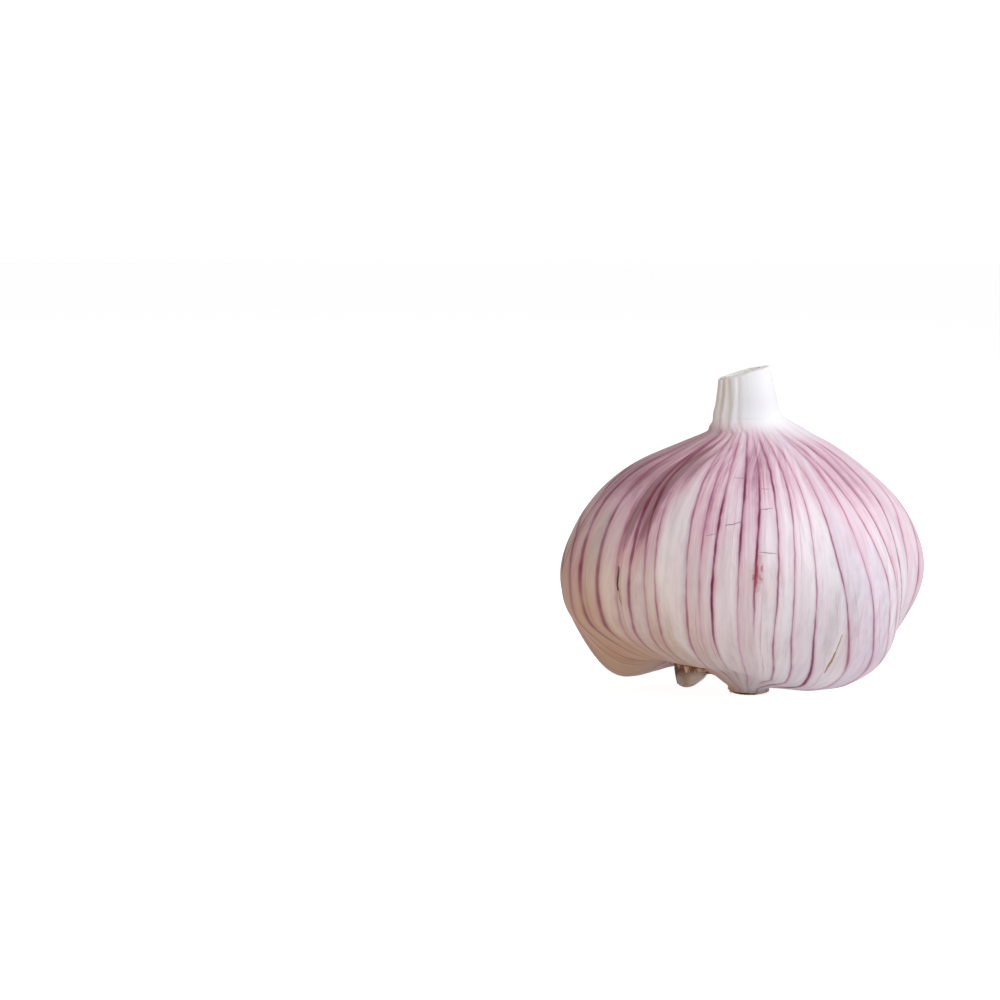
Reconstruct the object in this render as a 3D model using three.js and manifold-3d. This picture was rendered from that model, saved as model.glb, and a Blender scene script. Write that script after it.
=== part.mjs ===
// A garlic bulb as it is sold: the bulb wrapped in its dry outer skin, the cut stub of its stem, the corky
// root plate under it, and the heel of one clove that shows where the skin has torn away.
// Millimetres, +Z up. The origin is the middle of the root plate's flat underside, and -Y is the front.
import * as THREE from "three";
import { mergeVertices } from "three/addons/utils/BufferGeometryUtils.js";
import Module from "manifold-3d";

// ---- driving dimensions --------------------------------------------------------------------------------
const BULB_RADIUS = 30.6; // at the widest, before the cloves' own bulges
const BULB_SHIFT = -1.2; // of the bulb's middle along X: the root plate sits a little off centre
const SKIN_TOP = 48; // where the outer skin ends, round the stem
const COLLAR_RADIUS = 6; // of the skin where it grips the stem
const FOOT_RADIUS = 3.6; // of the skin gathered round the root plate
const FOOT_HEIGHT = 0.4; // of that skin's edge above the ground
const SKIN_AT_EDGE = 0.35; // thickness of the skin at the collar and the foot
const GAP = 0.3; // left between one piece and the next

const STEM_RADIUS = COLLAR_RADIUS - SKIN_AT_EDGE - GAP;
const STEM_TOP_RADIUS = 4.1;
const STEM_FOOT = 42; // height of the stem's lower end, hidden in the skin
const STEM_LENGTH = 13.5; // to the middle of the cut
const STEM_LEAN = -0.6; // of the cut's middle along X, past the bulb's own shift
const CUT_SLOPE = 15; // degrees, down towards -X

const PLATE_RADIUS = FOOT_RADIUS - SKIN_AT_EDGE - GAP;
const PLATE_FLAT_RADIUS = 2.8; // of the underside that the bulb stands on
const PLATE_CHAMFER = 0.25;
const PLATE_HEIGHT = 3;

const HEEL_AZIMUTH = -102; // of the bare clove, from the front towards +X
const HEEL_DISTANCE = 9.3; // from the origin to the middle of the heel
const HEEL_CENTRE_HEIGHT = 5.65;
const HEEL_HALF_SIZE = new THREE.Vector3(3.1, 3.8, 5.8); // along the radius, round the bulb, along its axis
const HEEL_TILT = 27; // degrees, its lower end outwards

// The skin's outline from the foot to the collar, as [radius, height].
const OUTLINE = [
  [FOOT_RADIUS, FOOT_HEIGHT],
  [4.05, 1.25],
  [8.5, 2.1],
  [13.5, 2.8],
  [18.8, 4.2],
  [24.2, 7.8],
  [28.6, 14.2],
  [BULB_RADIUS, 21.4],
  [29.7, 28.2],
  [26.3, 34.2],
  [20.4, 39.3],
  [13.3, 43.2],
  [8.5, 45.3],
  [6.8, 46.6],
  [COLLAR_RADIUS, SKIN_TOP],
].map(([r, z]) => new THREE.Vector2(r, z));

// Between two cloves the skin sinks into a groove: azimuth in degrees, depth, and half width in degrees.
const GROOVES = [
  { azimuth: -83, depth: 1.3, width: 8 },
  { azimuth: -37, depth: 1.2, width: 8 },
  { azimuth: -10, depth: 0.5, width: 9 },
  { azimuth: 27, depth: 0.7, width: 8 },
  { azimuth: 74, depth: 2.6, width: 7 },
  { azimuth: 112, depth: 1.4, width: 8 },
  { azimuth: 149, depth: 1.1, width: 8 },
  { azimuth: 187, depth: 1.7, width: 8 },
  { azimuth: 227, depth: 1.3, width: 8 },
];
const GROOVES_DEEPEN = [0.8, 7]; // heights between which they come in
const GROOVES_FADE = [27, 44]; // and die away

// Where a clove pushes the skin out, or lets it sink: azimuth and half width in degrees, height and half
// height.
const BULGES = [
  { azimuth: -78, width: 40, height: 16, reach: 11, out: 2.7 },
  { azimuth: -75, width: 40, height: 36, reach: 8, out: -0.7 },
  { azimuth: 20, width: 35, height: 20, reach: 12, out: 0.6 },
  { azimuth: 60, width: 20, height: 9, reach: 6, out: 2.2 },
  { azimuth: 94, width: 20, height: 23, reach: 9, out: 0.3 },
  { azimuth: 96, width: 18, height: 9, reach: 7, out: -2.1 },
  { azimuth: 132, width: 26, height: 19, reach: 13, out: 1.6 },
  { azimuth: 172, width: 26, height: 15, reach: 10, out: 0.8 },
  { azimuth: 232, width: 26, height: 22, reach: 12, out: -1.2 },
];
const BULGES_START = [COLLAR_RADIUS, COLLAR_RADIUS + 6]; // radii between which they come in

// The heels of the cloves stand higher or lower than the outline: azimuth and half width in degrees, and
// the rise.
const HEELS = [
  { azimuth: -8, width: 24, rise: 1.9 },
  { azimuth: -54, width: 44, rise: 1.2 },
  { azimuth: -85, width: 33, rise: 6.1 },
  { azimuth: 55, width: 26, rise: -1.4 },
  { azimuth: 130, width: 26, rise: -1.3 },
  { azimuth: 205, width: 30, rise: -1.5 },
];
const HEELS_START = [2.5, 13]; // radii between which they come in
const HEELS_FADE = [3, 17]; // heights between which they die away

// Cloves that hang low: azimuth in degrees, distance from the origin, half width, and how far down.
const LOW_LOBES = [
  { azimuth: -95, distance: 25.5, reach: 11, drop: 11.2 },
  { azimuth: 128, distance: 15, reach: 5, drop: 1.3 },
  { azimuth: 188, distance: 15, reach: 5.5, drop: 2.1 },
];

// Round the neck, the shoulder leans over along X: how far, at what height, and its half height.
const SHOULDER_LEAN = { out: 1.7, height: 44.4, reach: 3.4 };
const LEAN_STARTS = [COLLAR_RADIUS, COLLAR_RADIUS + 2.4]; // radii between which it comes in

const SHIFT_STARTS = [0.5, 14]; // heights between which the bulb moves over to its shifted middle
const SHIFT_EASES = [30, 48]; // and comes part of the way back
const SHIFT_BACK = 0.35; // that part

const AROUND = 72; // columns of the bulb
const UP_THE_SKIN = 30; // rows of the bulb's outline
const AROUND_SMALL = 32; // columns of the small pieces
const UP_THE_STEM = 10; // rows of the stem

// ---- helpers -------------------------------------------------------------------------------------------
const wasm = await Module();
wasm.setup();

const radians = THREE.MathUtils.degToRad;
const { smoothstep } = THREE.MathUtils;

// The angle from one azimuth to another, in degrees from -180 to 180.
function turnBetween(from, to) {
  return ((((to - from) % 360) + 540) % 360) - 180;
}

// A rounded hill of height 1 at the middle, and half as high one width away.
function hill(azimuth, { azimuth: middle, width }) {
  return 1 / (1 + (turnBetween(middle, azimuth) / width) ** 2);
}

// A lathe about +Z. The profile starts and ends on the axis, and runs upwards on the outside.
function lathe(profile, columns) {
  return new THREE.LatheGeometry(profile, columns).rotateX(Math.PI / 2);
}

// A closed geometry as a solid for joining and cutting.
function solidOf(geometry) {
  const bare = geometry.clone();
  bare.deleteAttribute("normal");
  bare.deleteAttribute("uv");
  const merged = mergeVertices(bare, 1e-4);
  return new wasm.Manifold(
    new wasm.Mesh({
      numProp: 3,
      vertProperties: merged.attributes.position.array,
      triVerts: new Uint32Array(merged.index.array),
    }),
  );
}

// A solid as a geometry again.
function geometryOf(solid) {
  const { numProp, vertProperties, triVerts } = solid.getMesh();
  const places = new THREE.InterleavedBuffer(vertProperties, numProp);
  const geometry = new THREE.BufferGeometry();
  geometry.setAttribute("position", new THREE.InterleavedBufferAttribute(places, 3, 0));
  geometry.setIndex(new THREE.BufferAttribute(triVerts, 1));
  return geometry.toNonIndexed();
}

function named(name, geometry, colour, roughness) {
  const material = new THREE.MeshStandardMaterial({ color: colour, roughness, metalness: 0 });
  const mesh = new THREE.Mesh(geometry, material);
  mesh.name = name;
  return mesh;
}

// ---- the bulb in its skin ------------------------------------------------------------------------------
// How much of a groove shows at a height: none at the foot and the collar, all of it between.
function grooveShare(height) {
  return smoothstep(height, ...GROOVES_DEEPEN) * (1 - smoothstep(height, ...GROOVES_FADE));
}

// How much of a heel's rise shows: all of it on the underside, none at the foot or on the bulb's sides.
function heelShare(radius, height) {
  return smoothstep(radius, ...HEELS_START) * (1 - smoothstep(height, ...HEELS_FADE));
}

// A bell curve, 1 at the middle and 0.37 one reach away.
function bell(distance, reach) {
  return Math.exp(-((distance / reach) ** 2));
}

// How far a bulge pushes the skin out at a place.
function push(azimuth, height, bulge) {
  return bulge.out * hill(azimuth, bulge) * bell(height - bulge.height, bulge.reach);
}

// How far a low clove brings the skin down at a place on the underside.
function lobeDrop(x, y, { azimuth, distance, reach, drop }) {
  const turn = radians(azimuth - 90);
  return drop * bell(Math.hypot(x - distance * Math.cos(turn), y - distance * Math.sin(turn)), reach);
}

// How far the shoulder leans over at a place.
function shoulderLean(radius, height) {
  const { out, height: middle, reach } = SHOULDER_LEAN;
  return out * bell(height - middle, reach) * smoothstep(radius, ...LEAN_STARTS);
}

// How much of the bulb's shift along X shows at a height: none at the foot, most of it up the stem.
function shiftShare(height) {
  return smoothstep(height, ...SHIFT_STARTS) * (1 - SHIFT_BACK * smoothstep(height, ...SHIFT_EASES));
}

// Moves each point of the turned skin in or out over the cloves, and up or down at their heels. The recess
// for the root plate, at the bottom, stays round.
function shapeOverCloves(geometry) {
  const place = geometry.attributes.position;
  for (let i = 0; i < place.count; i++) {
    const [x, y, height] = [place.getX(i), place.getY(i), place.getZ(i)];
    const radius = Math.hypot(x, y);
    if (height < STEM_FOOT / 2 && radius < FOOT_RADIUS - SKIN_AT_EDGE / 2) continue;
    const azimuth = THREE.MathUtils.radToDeg(Math.atan2(x, -y));
    const sink = GROOVES.reduce((sum, g) => sum + g.depth * hill(azimuth, g), 0);
    const out = BULGES.reduce((sum, b) => sum + push(azimuth, height, b), 0);
    const raised = HEELS.reduce((sum, h) => sum + h.rise * hill(azimuth, h), 0);
    const rise = LOW_LOBES.reduce((sum, lobe) => sum - lobeDrop(x, y, lobe), raised);
    const outwards = out * smoothstep(radius, ...BULGES_START) - sink * grooveShare(height);
    const scale = radius > 0 ? 1 + outwards / radius : 1;
    place.setX(i, x * scale + BULB_SHIFT * shiftShare(height) + shoulderLean(radius, height));
    place.setY(i, y * scale);
    place.setZ(i, height + rise * heelShare(radius, height));
  }
  return geometry;
}

// The heel of the bare clove, larger all round by room: an egg with its long axis along Z.
function heelGeometry(room = 0) {
  const half = HEEL_HALF_SIZE.clone().addScalar(room);
  return new THREE.SphereGeometry(1, 24, 16).rotateX(Math.PI / 2).scale(half.x, half.y, half.z);
}

function placeHeel(object) {
  const turn = radians(HEEL_AZIMUTH - 90);
  object.rotation.set(0, radians(-HEEL_TILT), turn, "ZYX"); // tilted first, then turned
  object.position.set(HEEL_DISTANCE * Math.cos(turn), HEEL_DISTANCE * Math.sin(turn), HEEL_CENTRE_HEIGHT);
  return object;
}

function wrappedBulb() {
  const socketRadius = STEM_RADIUS + GAP;
  const recessRadius = PLATE_RADIUS + GAP;
  const profile = [
    new THREE.Vector2(0, PLATE_HEIGHT + GAP),
    new THREE.Vector2(recessRadius, PLATE_HEIGHT + GAP),
    new THREE.Vector2(recessRadius, FOOT_HEIGHT),
    ...new THREE.SplineCurve(OUTLINE).getPoints(UP_THE_SKIN),
    new THREE.Vector2(socketRadius, SKIN_TOP),
    new THREE.Vector2(socketRadius, STEM_FOOT - GAP),
    new THREE.Vector2(0, STEM_FOOT - GAP),
  ];
  const skin = solidOf(shapeOverCloves(lathe(profile, AROUND)));
  const room = placeHeel(new THREE.Mesh(heelGeometry(GAP)));
  room.updateMatrixWorld();
  const pocket = solidOf(room.geometry.applyMatrix4(room.matrixWorld));
  return named("wrapped_bulb", geometryOf(skin.subtract(pocket)), 0xe0d2d8, 0.5);
}

// ---- the stub of the stem ------------------------------------------------------------------------------
// A stub that tapers above the collar, leans a little and is cut on a slope.
function stemStub() {
  const taper = new THREE.SplineCurve([
    new THREE.Vector2(STEM_RADIUS, 0),
    new THREE.Vector2(STEM_RADIUS, 6.5),
    new THREE.Vector2(STEM_RADIUS - 0.2, 9),
    new THREE.Vector2(STEM_TOP_RADIUS + 0.5, 11.6),
    new THREE.Vector2(STEM_TOP_RADIUS, STEM_LENGTH),
  ]).getPoints(UP_THE_STEM);
  const stub = lathe([new THREE.Vector2(0, 0), ...taper, new THREE.Vector2(0, STEM_LENGTH)], AROUND_SMALL);
  const place = stub.attributes.position;
  for (let i = 0; i < place.count; i++) {
    const height = place.getZ(i);
    const share = (height / STEM_LENGTH) ** 4; // how much of the lean and the slope shows at this height
    const slope = place.getX(i) * Math.tan(radians(CUT_SLOPE));
    place.setX(i, place.getX(i) + BULB_SHIFT * shiftShare(STEM_FOOT + height) + STEM_LEAN * share);
    place.setZ(i, height + slope * share);
  }
  const mesh = named("stem_stub", stub, 0xf0eeec, 0.6);
  mesh.position.z = STEM_FOOT;
  return mesh;
}

// ---- the root plate ------------------------------------------------------------------------------------
// A corky disc with a chamfered edge and a flat underside.
function rootPlate() {
  const profile = [
    new THREE.Vector2(0, 0),
    new THREE.Vector2(PLATE_FLAT_RADIUS, 0),
    new THREE.Vector2(PLATE_RADIUS, PLATE_CHAMFER),
    new THREE.Vector2(PLATE_RADIUS, PLATE_HEIGHT),
    new THREE.Vector2(0, PLATE_HEIGHT),
  ];
  return named("root_plate", lathe(profile, AROUND_SMALL), 0xa98a68, 0.9);
}

// ---- the bare clove ------------------------------------------------------------------------------------
function bareClove() {
  return placeHeel(named("bare_clove", heelGeometry(), 0x8c7463, 0.6));
}

const garlic = new THREE.Group();
garlic.add(wrappedBulb(), stemStub(), rootPlate(), bareClove());
export default garlic;
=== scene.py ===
# %% [markdown]
# # A garlic bulb
# A garlic bulb is a ring of cloves packed round a stem. Thin dry leaf bases wrap them all, purple veins
# run down those leaves from the stem to the root plate, and the stem is cut off short above. This lesson
# dresses a plain CAD bulb with that skin, stem, root plate and one bare clove. Every surface is a formula
# of two numbers, worked out with numpy, so a change of one value changes the whole bulb.

# %% Load the frame
import math
import bpy
import numpy as np
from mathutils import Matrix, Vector


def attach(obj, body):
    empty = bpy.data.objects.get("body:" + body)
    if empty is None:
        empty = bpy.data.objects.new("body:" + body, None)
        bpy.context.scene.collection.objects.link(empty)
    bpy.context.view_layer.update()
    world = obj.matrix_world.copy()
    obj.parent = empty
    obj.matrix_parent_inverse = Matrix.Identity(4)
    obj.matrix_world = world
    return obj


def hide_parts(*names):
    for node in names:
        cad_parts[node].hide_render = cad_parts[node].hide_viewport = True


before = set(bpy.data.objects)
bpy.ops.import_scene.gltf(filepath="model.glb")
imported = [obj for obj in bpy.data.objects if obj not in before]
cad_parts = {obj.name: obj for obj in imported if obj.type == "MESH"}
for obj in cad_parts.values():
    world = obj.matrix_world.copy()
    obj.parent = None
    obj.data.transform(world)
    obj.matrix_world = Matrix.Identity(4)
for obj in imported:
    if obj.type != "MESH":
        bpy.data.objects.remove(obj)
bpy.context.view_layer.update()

MM = 0.001  # the formulas below are in millimetres, and Blender's meshes are in metres

# %% [markdown]
# ## Helpers for numbers and colours
# Shader sockets take linear light, while colours are easiest to choose as the values a screen shows. One
# helper turns the second into the first. Two more make soft steps and soft hills, which shape nearly
# everything below.

# %% Numbers and colours
def screen(red, green, blue):
    """A colour chosen as 0 to 255 screen values, as linear light: the inverse of the screen's gamma
    curve."""
    share = np.array([red, green, blue]) / 255
    linear = np.where(share <= 0.04045, share / 12.92, ((share + 0.055) / 1.055) ** 2.4)
    return (*linear, 1.0)


def step(value, start, end):
    """0 before start, 1 after end, and between them three squares less two cubes of the way along."""
    way = np.clip((value - start) / (end - start), 0, 1)
    return way * way * (3 - 2 * way)


def turn(azimuth, middle):
    """The angle from middle to azimuth in degrees, between -180 and 180."""
    return (azimuth - middle + 180) % 360 - 180


def hill(azimuth, middle, width):
    """1 at the middle azimuth and half as high one width away: one over one plus the distance squared."""
    return 1 / (1 + (turn(azimuth, middle) / width) ** 2)


def spot(azimuth, height, middle, width, level, reach):
    """A soft oval spot, 1 at (middle, level): a bell curve along the azimuth times one along the height."""
    return np.exp(-((turn(azimuth, middle) / width) ** 2) - ((height - level) / reach) ** 2)


def ripple(azimuth, along, seed, waves, counts, stretch):
    """Smooth seeded noise between about -1 and 1 that closes on itself round the bulb: a mean of cosines,
    each with a whole number of turns from counts and a slow drift along the other direction."""
    rng = np.random.default_rng(seed)
    total = np.zeros(np.broadcast(azimuth, along).shape)
    for _ in range(waves):
        turns = rng.integers(*counts)
        total = total + np.cos(turns * np.radians(azimuth) + rng.normal(0, stretch) * along
                               + rng.uniform(0, 7))
    return total / math.sqrt(waves)

# %% [markdown]
# ## Camera
# The bulb stands to the right of the picture's middle, and the camera looks a little down on it. Instead
# of shifting the lens, the camera turns aside until the bulb falls in its place, as a person holding it
# would. Its pitch and its turn follow from where the bulb's middle lands in the picture.

# %% Camera
IMAGE = 1000  # pixels across and up
AIM_POINT = np.array([0, 0, 26.0])  # mm, on the bulb's axis
AIM_PIXEL = np.array([750.0, 543.5])  # where that point lands
DISTANCE = 450  # mm
ELEVATION = 7  # degrees above the horizon
PIXELS_PER_MM = 5.77  # at the bulb


def aim_camera(camera):
    """Puts the camera on the ray at ELEVATION, then finds the pitch that gives the aim point its height
    in the picture, and the turn that gives it its place across."""
    focal = PIXELS_PER_MM * DISTANCE
    raised = math.radians(ELEVATION)
    place = AIM_POINT + DISTANCE * np.array([0, -math.cos(raised), math.sin(raised)])
    across, up = AIM_PIXEL[0] - IMAGE / 2, IMAGE / 2 - AIM_PIXEL[1]
    length = math.sqrt(across**2 + up**2 + focal**2)
    pitch = math.asin(-math.sin(raised) * length / math.hypot(up, focal)) - math.atan2(up, focal)
    aside = math.atan2(across, focal * math.cos(pitch) - up * math.sin(pitch))
    camera.location = Vector(place * MM)
    camera.rotation_euler = (math.pi / 2 + pitch, 0, aside)
    camera.data.sensor_width = 36
    camera.data.lens = focal / IMAGE * camera.data.sensor_width


camera = bpy.data.objects.new("camera", bpy.data.cameras.new("camera"))
camera.data.clip_start = 0.01
bpy.context.scene.collection.objects.link(camera)
bpy.context.scene.camera = camera
aim_camera(camera)
print("lens, mm:", round(camera.data.lens, 1))

# %% [markdown]
# ## Node helpers
# A material is a tree of small nodes. These helpers add one node each and wire it, so that a material
# reads as a list of what is mixed with what. An effect that several materials share becomes a node group
# with named sockets.

# %% Node helpers
def node(tree, kind, sockets=None, **settings):
    """Adds one node, with its settings and its inputs. An input that is an output of another node is
    linked."""
    made = tree.nodes.new(kind)
    for name, value in settings.items():
        setattr(made, name, value)
    for name, value in (sockets or {}).items():
        if isinstance(value, bpy.types.NodeSocket):
            tree.links.new(value, made.inputs[name])
        else:
            made.inputs[name].default_value = value
    return made


def calc(tree, operation, *values):
    """One sum on up to three values, as Blender's Math node does it."""
    return node(tree, "ShaderNodeMath", dict(enumerate(values)), operation=operation).outputs[0]


def between(tree, value, start, end):
    """0 where value is under start, 1 over end, with a soft step between them."""
    sockets = {"Value": value, "From Min": start, "From Max": end}
    return node(tree, "ShaderNodeMapRange", sockets, interpolation_type="SMOOTHSTEP").outputs[0]


def mixed(tree, share, first, second, blend="MIX"):
    """first, and second over it by share."""
    made = node(tree, "ShaderNodeMix", data_type="RGBA", blend_type=blend)
    for socket, value in zip((made.inputs[0], made.inputs[6], made.inputs[7]), (share, first, second)):
        if isinstance(value, bpy.types.NodeSocket):
            tree.links.new(value, socket)
        else:
            socket.default_value = value
    return made.outputs[2]


def value_of(tree, name):
    """A value that the mesh holds at each of its points."""
    return node(tree, "ShaderNodeAttribute", attribute_name=name).outputs["Fac"]


def soft_noise(tree, place, scale, detail, roughness=0.5):
    """A smooth noise, mostly from 0.3 to 0.7, at a place. A higher detail adds finer layers to it."""
    inputs = {"Vector": place, "Scale": scale, "Detail": detail, "Roughness": roughness}
    return node(tree, "ShaderNodeTexNoise", inputs).outputs["Fac"]


def flat_place(tree, across, along):
    """The place in a plane that two numbers give."""
    return node(tree, "ShaderNodeCombineXYZ", {"X": across, "Y": along}).outputs[0]


def effect(name, inputs, outputs):
    """An empty node group. inputs gives each socket's default, a number or a vector, and outputs the
    names."""
    tree = bpy.data.node_groups.new(name, "ShaderNodeTree")
    for socket, default in inputs.items():
        kind = "NodeSocketVector" if isinstance(default, tuple) else "NodeSocketFloat"
        tree.interface.new_socket(socket, in_out="INPUT", socket_type=kind).default_value = default
    for socket in outputs:
        tree.interface.new_socket(socket, in_out="OUTPUT", socket_type="NodeSocketFloat")
    return tree, tree.nodes.new("NodeGroupInput").outputs, tree.nodes.new("NodeGroupOutput").inputs


def use(tree, group, **sockets):
    """Places a node group in a tree. Underscores in the names stand for spaces."""
    made = node(tree, "ShaderNodeGroup", node_tree=group)
    for name, value in sockets.items():
        socket = made.inputs[name.replace("_", " ")]
        if isinstance(value, bpy.types.NodeSocket):
            tree.links.new(value, socket)
        else:
            socket.default_value = value
    return made.outputs


def new_material(name):
    """A material with an empty tree but for its Principled shader and its output."""
    made = bpy.data.materials.new(name)
    made.use_nodes = True
    made.node_tree.nodes.clear()
    tree = made.node_tree
    shader = tree.nodes.new("ShaderNodeBsdfPrincipled")
    output = tree.nodes.new("ShaderNodeOutputMaterial")
    tree.links.new(shader.outputs[0], output.inputs["Surface"])
    return made, tree, shader


def bumped(tree, height, depth, strength=1.0):
    """A normal from a height between 0 and 1 that stands for depth in millimetres."""
    sockets = {"Height": height, "Distance": depth * MM, "Strength": strength}
    return node(tree, "ShaderNodeBump", sockets).outputs["Normal"]

# %% [markdown]
# ## Meshes from grids
# Every piece is one or more grids of points. A grid's columns close into a ring. Its rows either end in a
# pole at each end, as on a fruit, or close as well, as on a ring-shaped wall with an outside and an
# inside. Values that the material needs, such as how purple a point is, are stored with the points.

# %% Meshes from grids
def ring_faces(rows, columns, first=0, closed=False):
    """The four-sided faces between neighbouring rows and columns. The last column joins the first, and
    the last row joins the first too if closed."""
    row = np.arange(rows if closed else rows - 1)[:, None]
    column = np.arange(columns)[None, :]
    above, beside = (row + 1) % rows, (column + 1) % columns
    corners = (row * columns + column, row * columns + beside,
               above * columns + beside, above * columns + column)
    return first + np.stack([c.ravel() for c in np.broadcast_arrays(*corners)], axis=1)


def pole_faces(ring, pole, upwards):
    """A fan of triangles from a ring of points to a pole."""
    after = np.roll(ring, -1)
    fan = np.full(len(ring), pole)
    return np.stack([ring, after, fan] if upwards else [after, ring, fan], axis=1)


def new_piece(name, points, faces, material, values=None, sharp=50):
    """A smooth-shaded mesh object from points in millimetres and lists of faces. Edges sharper than sharp
    degrees stay crisp. values holds one number for each point, by name."""
    mesh = bpy.data.meshes.new(name)
    mesh.from_pydata((points * MM).tolist(), [], [face for part in faces for face in part.tolist()])
    for key, field in (values or {}).items():
        mesh.attributes.new(key, "FLOAT", "POINT").data.foreach_set("value", field.astype(np.float32))
    mesh.polygons.foreach_set("use_smooth", np.ones(len(mesh.polygons), bool))
    mesh.set_sharp_from_angle(angle=math.radians(sharp))
    mesh.materials.append(material)
    mesh.validate()
    made = bpy.data.objects.new(name, mesh)
    bpy.context.scene.collection.objects.link(made)
    triangles = sum(len(face.vertices) - 2 for face in mesh.polygons)
    print(f"{name}: {len(mesh.vertices)} points, {triangles} triangles")
    return made


def closed_surface(name, grid, material, values=None, sharp=50):
    """A piece from a grid, rows x columns x 3, whose first and last rows close to poles at their middles.
    The rows run upwards on the outside, and the columns run from the front towards +X."""
    rows, columns = grid.shape[:2]
    points = np.concatenate([grid.reshape(-1, 3), grid[0].mean(0)[None], grid[-1].mean(0)[None]])
    ring = np.arange(columns)
    faces = [ring_faces(rows, columns), pole_faces(ring, rows * columns, False),
             pole_faces(ring + (rows - 1) * columns, rows * columns + 1, True)]
    return new_piece(name, points, faces, material, values, sharp)


def shell_surface(name, grid, material, values=None, sharp=50):
    """A piece from a grid whose last row joins its first: a wall with an outside, an edge and an inside."""
    rows, columns = grid.shape[:2]
    faces = [ring_faces(rows, columns, closed=True)]
    return new_piece(name, grid.reshape(-1, 3), faces, material, values, sharp)


def add_map(piece, name, across, along, period=0):
    """A UV map from two values for each point. Where a face spans the seam, so that its points' first
    values lie more than half a period apart, the small ones are a period larger."""
    corners = np.empty(len(piece.data.loops), np.int32)
    piece.data.loops.foreach_get("vertex_index", corners)
    starts = np.empty(len(piece.data.polygons), np.int32)
    piece.data.polygons.foreach_get("loop_start", starts)
    first = across[corners]
    highest = np.repeat(np.maximum.reduceat(first, starts), np.diff([*starts, len(corners)]))
    first = first + period * (highest - first > period / 2) if period else first
    data = np.stack([first, along[corners]], axis=-1).astype(np.float32)
    piece.data.uv_layers.new(name=name).data.foreach_set("uv", data.ravel())


def settle(piece, node_name):
    """Attaches a piece to the root body and hides the CAD node that it stands for."""
    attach(piece, "root")
    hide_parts(node_name)

# %% [markdown]
# ## The bulb's shape
# The CAD bulb is an outline turned round the axis, pressed in between the cloves and pushed out over
# them. The same numbers are repeated here, because the fine skin has to lie where the CAD bulb is. The
# outline is a smooth curve through its points. Every term is a soft hill, so the skin stays smooth
# however finely it is cut.

# %% The bulb's shape
BULB_SHIFT = -1.2
SKIN_TOP, COLLAR_RADIUS = 48, 6
FOOT_RADIUS, FOOT_HEIGHT = 3.6, 0.4
OUTLINE = np.array([
    [FOOT_RADIUS, FOOT_HEIGHT], [4.05, 1.25], [8.5, 2.1], [13.5, 2.8], [18.8, 4.2], [24.2, 7.8],
    [28.6, 14.2], [30.6, 21.4], [29.7, 28.2], [26.3, 34.2], [20.4, 39.3], [13.3, 43.2], [8.5, 45.3],
    [6.8, 46.6], [COLLAR_RADIUS, SKIN_TOP],
])
# Each groove: azimuth in degrees, depth in mm, half width in degrees.
GROOVES = [(-83, 1.3, 8), (-37, 1.2, 8), (-10, 0.5, 9), (27, 0.7, 8), (74, 2.6, 7), (112, 1.4, 8),
           (149, 1.1, 8), (187, 1.7, 8), (227, 1.3, 8)]
# Each bulge: azimuth, half width, height, half height, and how far it stands out.
BULGES = [(-78, 40, 16, 11, 2.7), (-75, 40, 36, 8, -0.7), (20, 35, 20, 12, 0.6), (60, 20, 9, 6, 2.2),
          (94, 20, 23, 9, 0.3), (96, 18, 9, 7, -2.1), (132, 26, 19, 13, 1.6), (172, 26, 15, 10, 0.8),
          (232, 26, 22, 12, -1.2)]
# Each clove's heel: azimuth, half width, and how far it rises.
HEELS = [(-8, 24, 1.9), (-54, 44, 1.2), (-85, 33, 6.1), (55, 26, -1.4), (130, 26, -1.3), (205, 30, -1.5)]
# Each clove that hangs low: azimuth, distance from the axis, half width in mm, and how far down.
LOW_LOBES = [(-95, 25.5, 11, 11.2), (128, 15, 5, 1.3), (188, 15, 5.5, 2.1)]
# The lean of the shoulder round the neck: how far along X, the height, and its half height, in mm.
SHOULDER_LEAN = (1.7, 44.4, 3.4)


def curve_through(points, places):
    """The curve through a list of points, at places from 0 to 1. Between two neighbours it is a cubic
    whose slope at each of them is half the step from the point before it to the point after it."""
    at = places * (len(points) - 1)
    first = np.clip(at.astype(int), 0, len(points) - 2)
    way = (at - first)[..., None]
    before, start, end, after = (points[np.clip(first + k, 0, len(points) - 1)] for k in (-1, 0, 1, 2))
    slope_in, slope_out = (end - before) / 2, (after - start) / 2
    cubic = 2 * start - 2 * end + slope_in + slope_out
    square = 3 * end - 3 * start - 2 * slope_in - slope_out
    return cubic * way**3 + square * way**2 + slope_in * way + start


def even_places(points, count, samples=4000):
    """count places from 0 to 1 at equal steps of length along the curve through points, and their
    lengths."""
    places = np.linspace(0, 1, samples)
    line = curve_through(points, places)
    length = np.concatenate([[0], np.cumsum(np.hypot(*np.diff(line, axis=0).T))])
    wanted = np.linspace(0, length[-1], count)
    return np.interp(wanted, length, places), wanted


def axis_shift(height):
    """How far the bulb's middle stands off the root plate's axis: none at the foot, most of it from there
    up."""
    return BULB_SHIFT * step(height, 0.5, 14) * (1 - 0.35 * step(height, 30, 48))


def bell(distance, reach):
    """1 in the middle, and 0.37 one reach away."""
    return np.exp(-((distance / reach) ** 2))


def shoulder_lean(radius, height):
    """How far the shoulder leans over along X, in mm."""
    far, level, reach = SHOULDER_LEAN
    return far * bell(height - level, reach) * step(radius, COLLAR_RADIUS, COLLAR_RADIUS + 2.4)


def side_flare(azimuth, height):
    """How far the neck's foot flares out at its right side, and draws in at its left, in mm."""
    right = 0.85 * hill(azimuth, 85, 38) * bell(height - 46.5, 1.5)
    return right - 0.45 * hill(azimuth, -90, 45) * bell(height - 47.2, 1.0)


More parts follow.
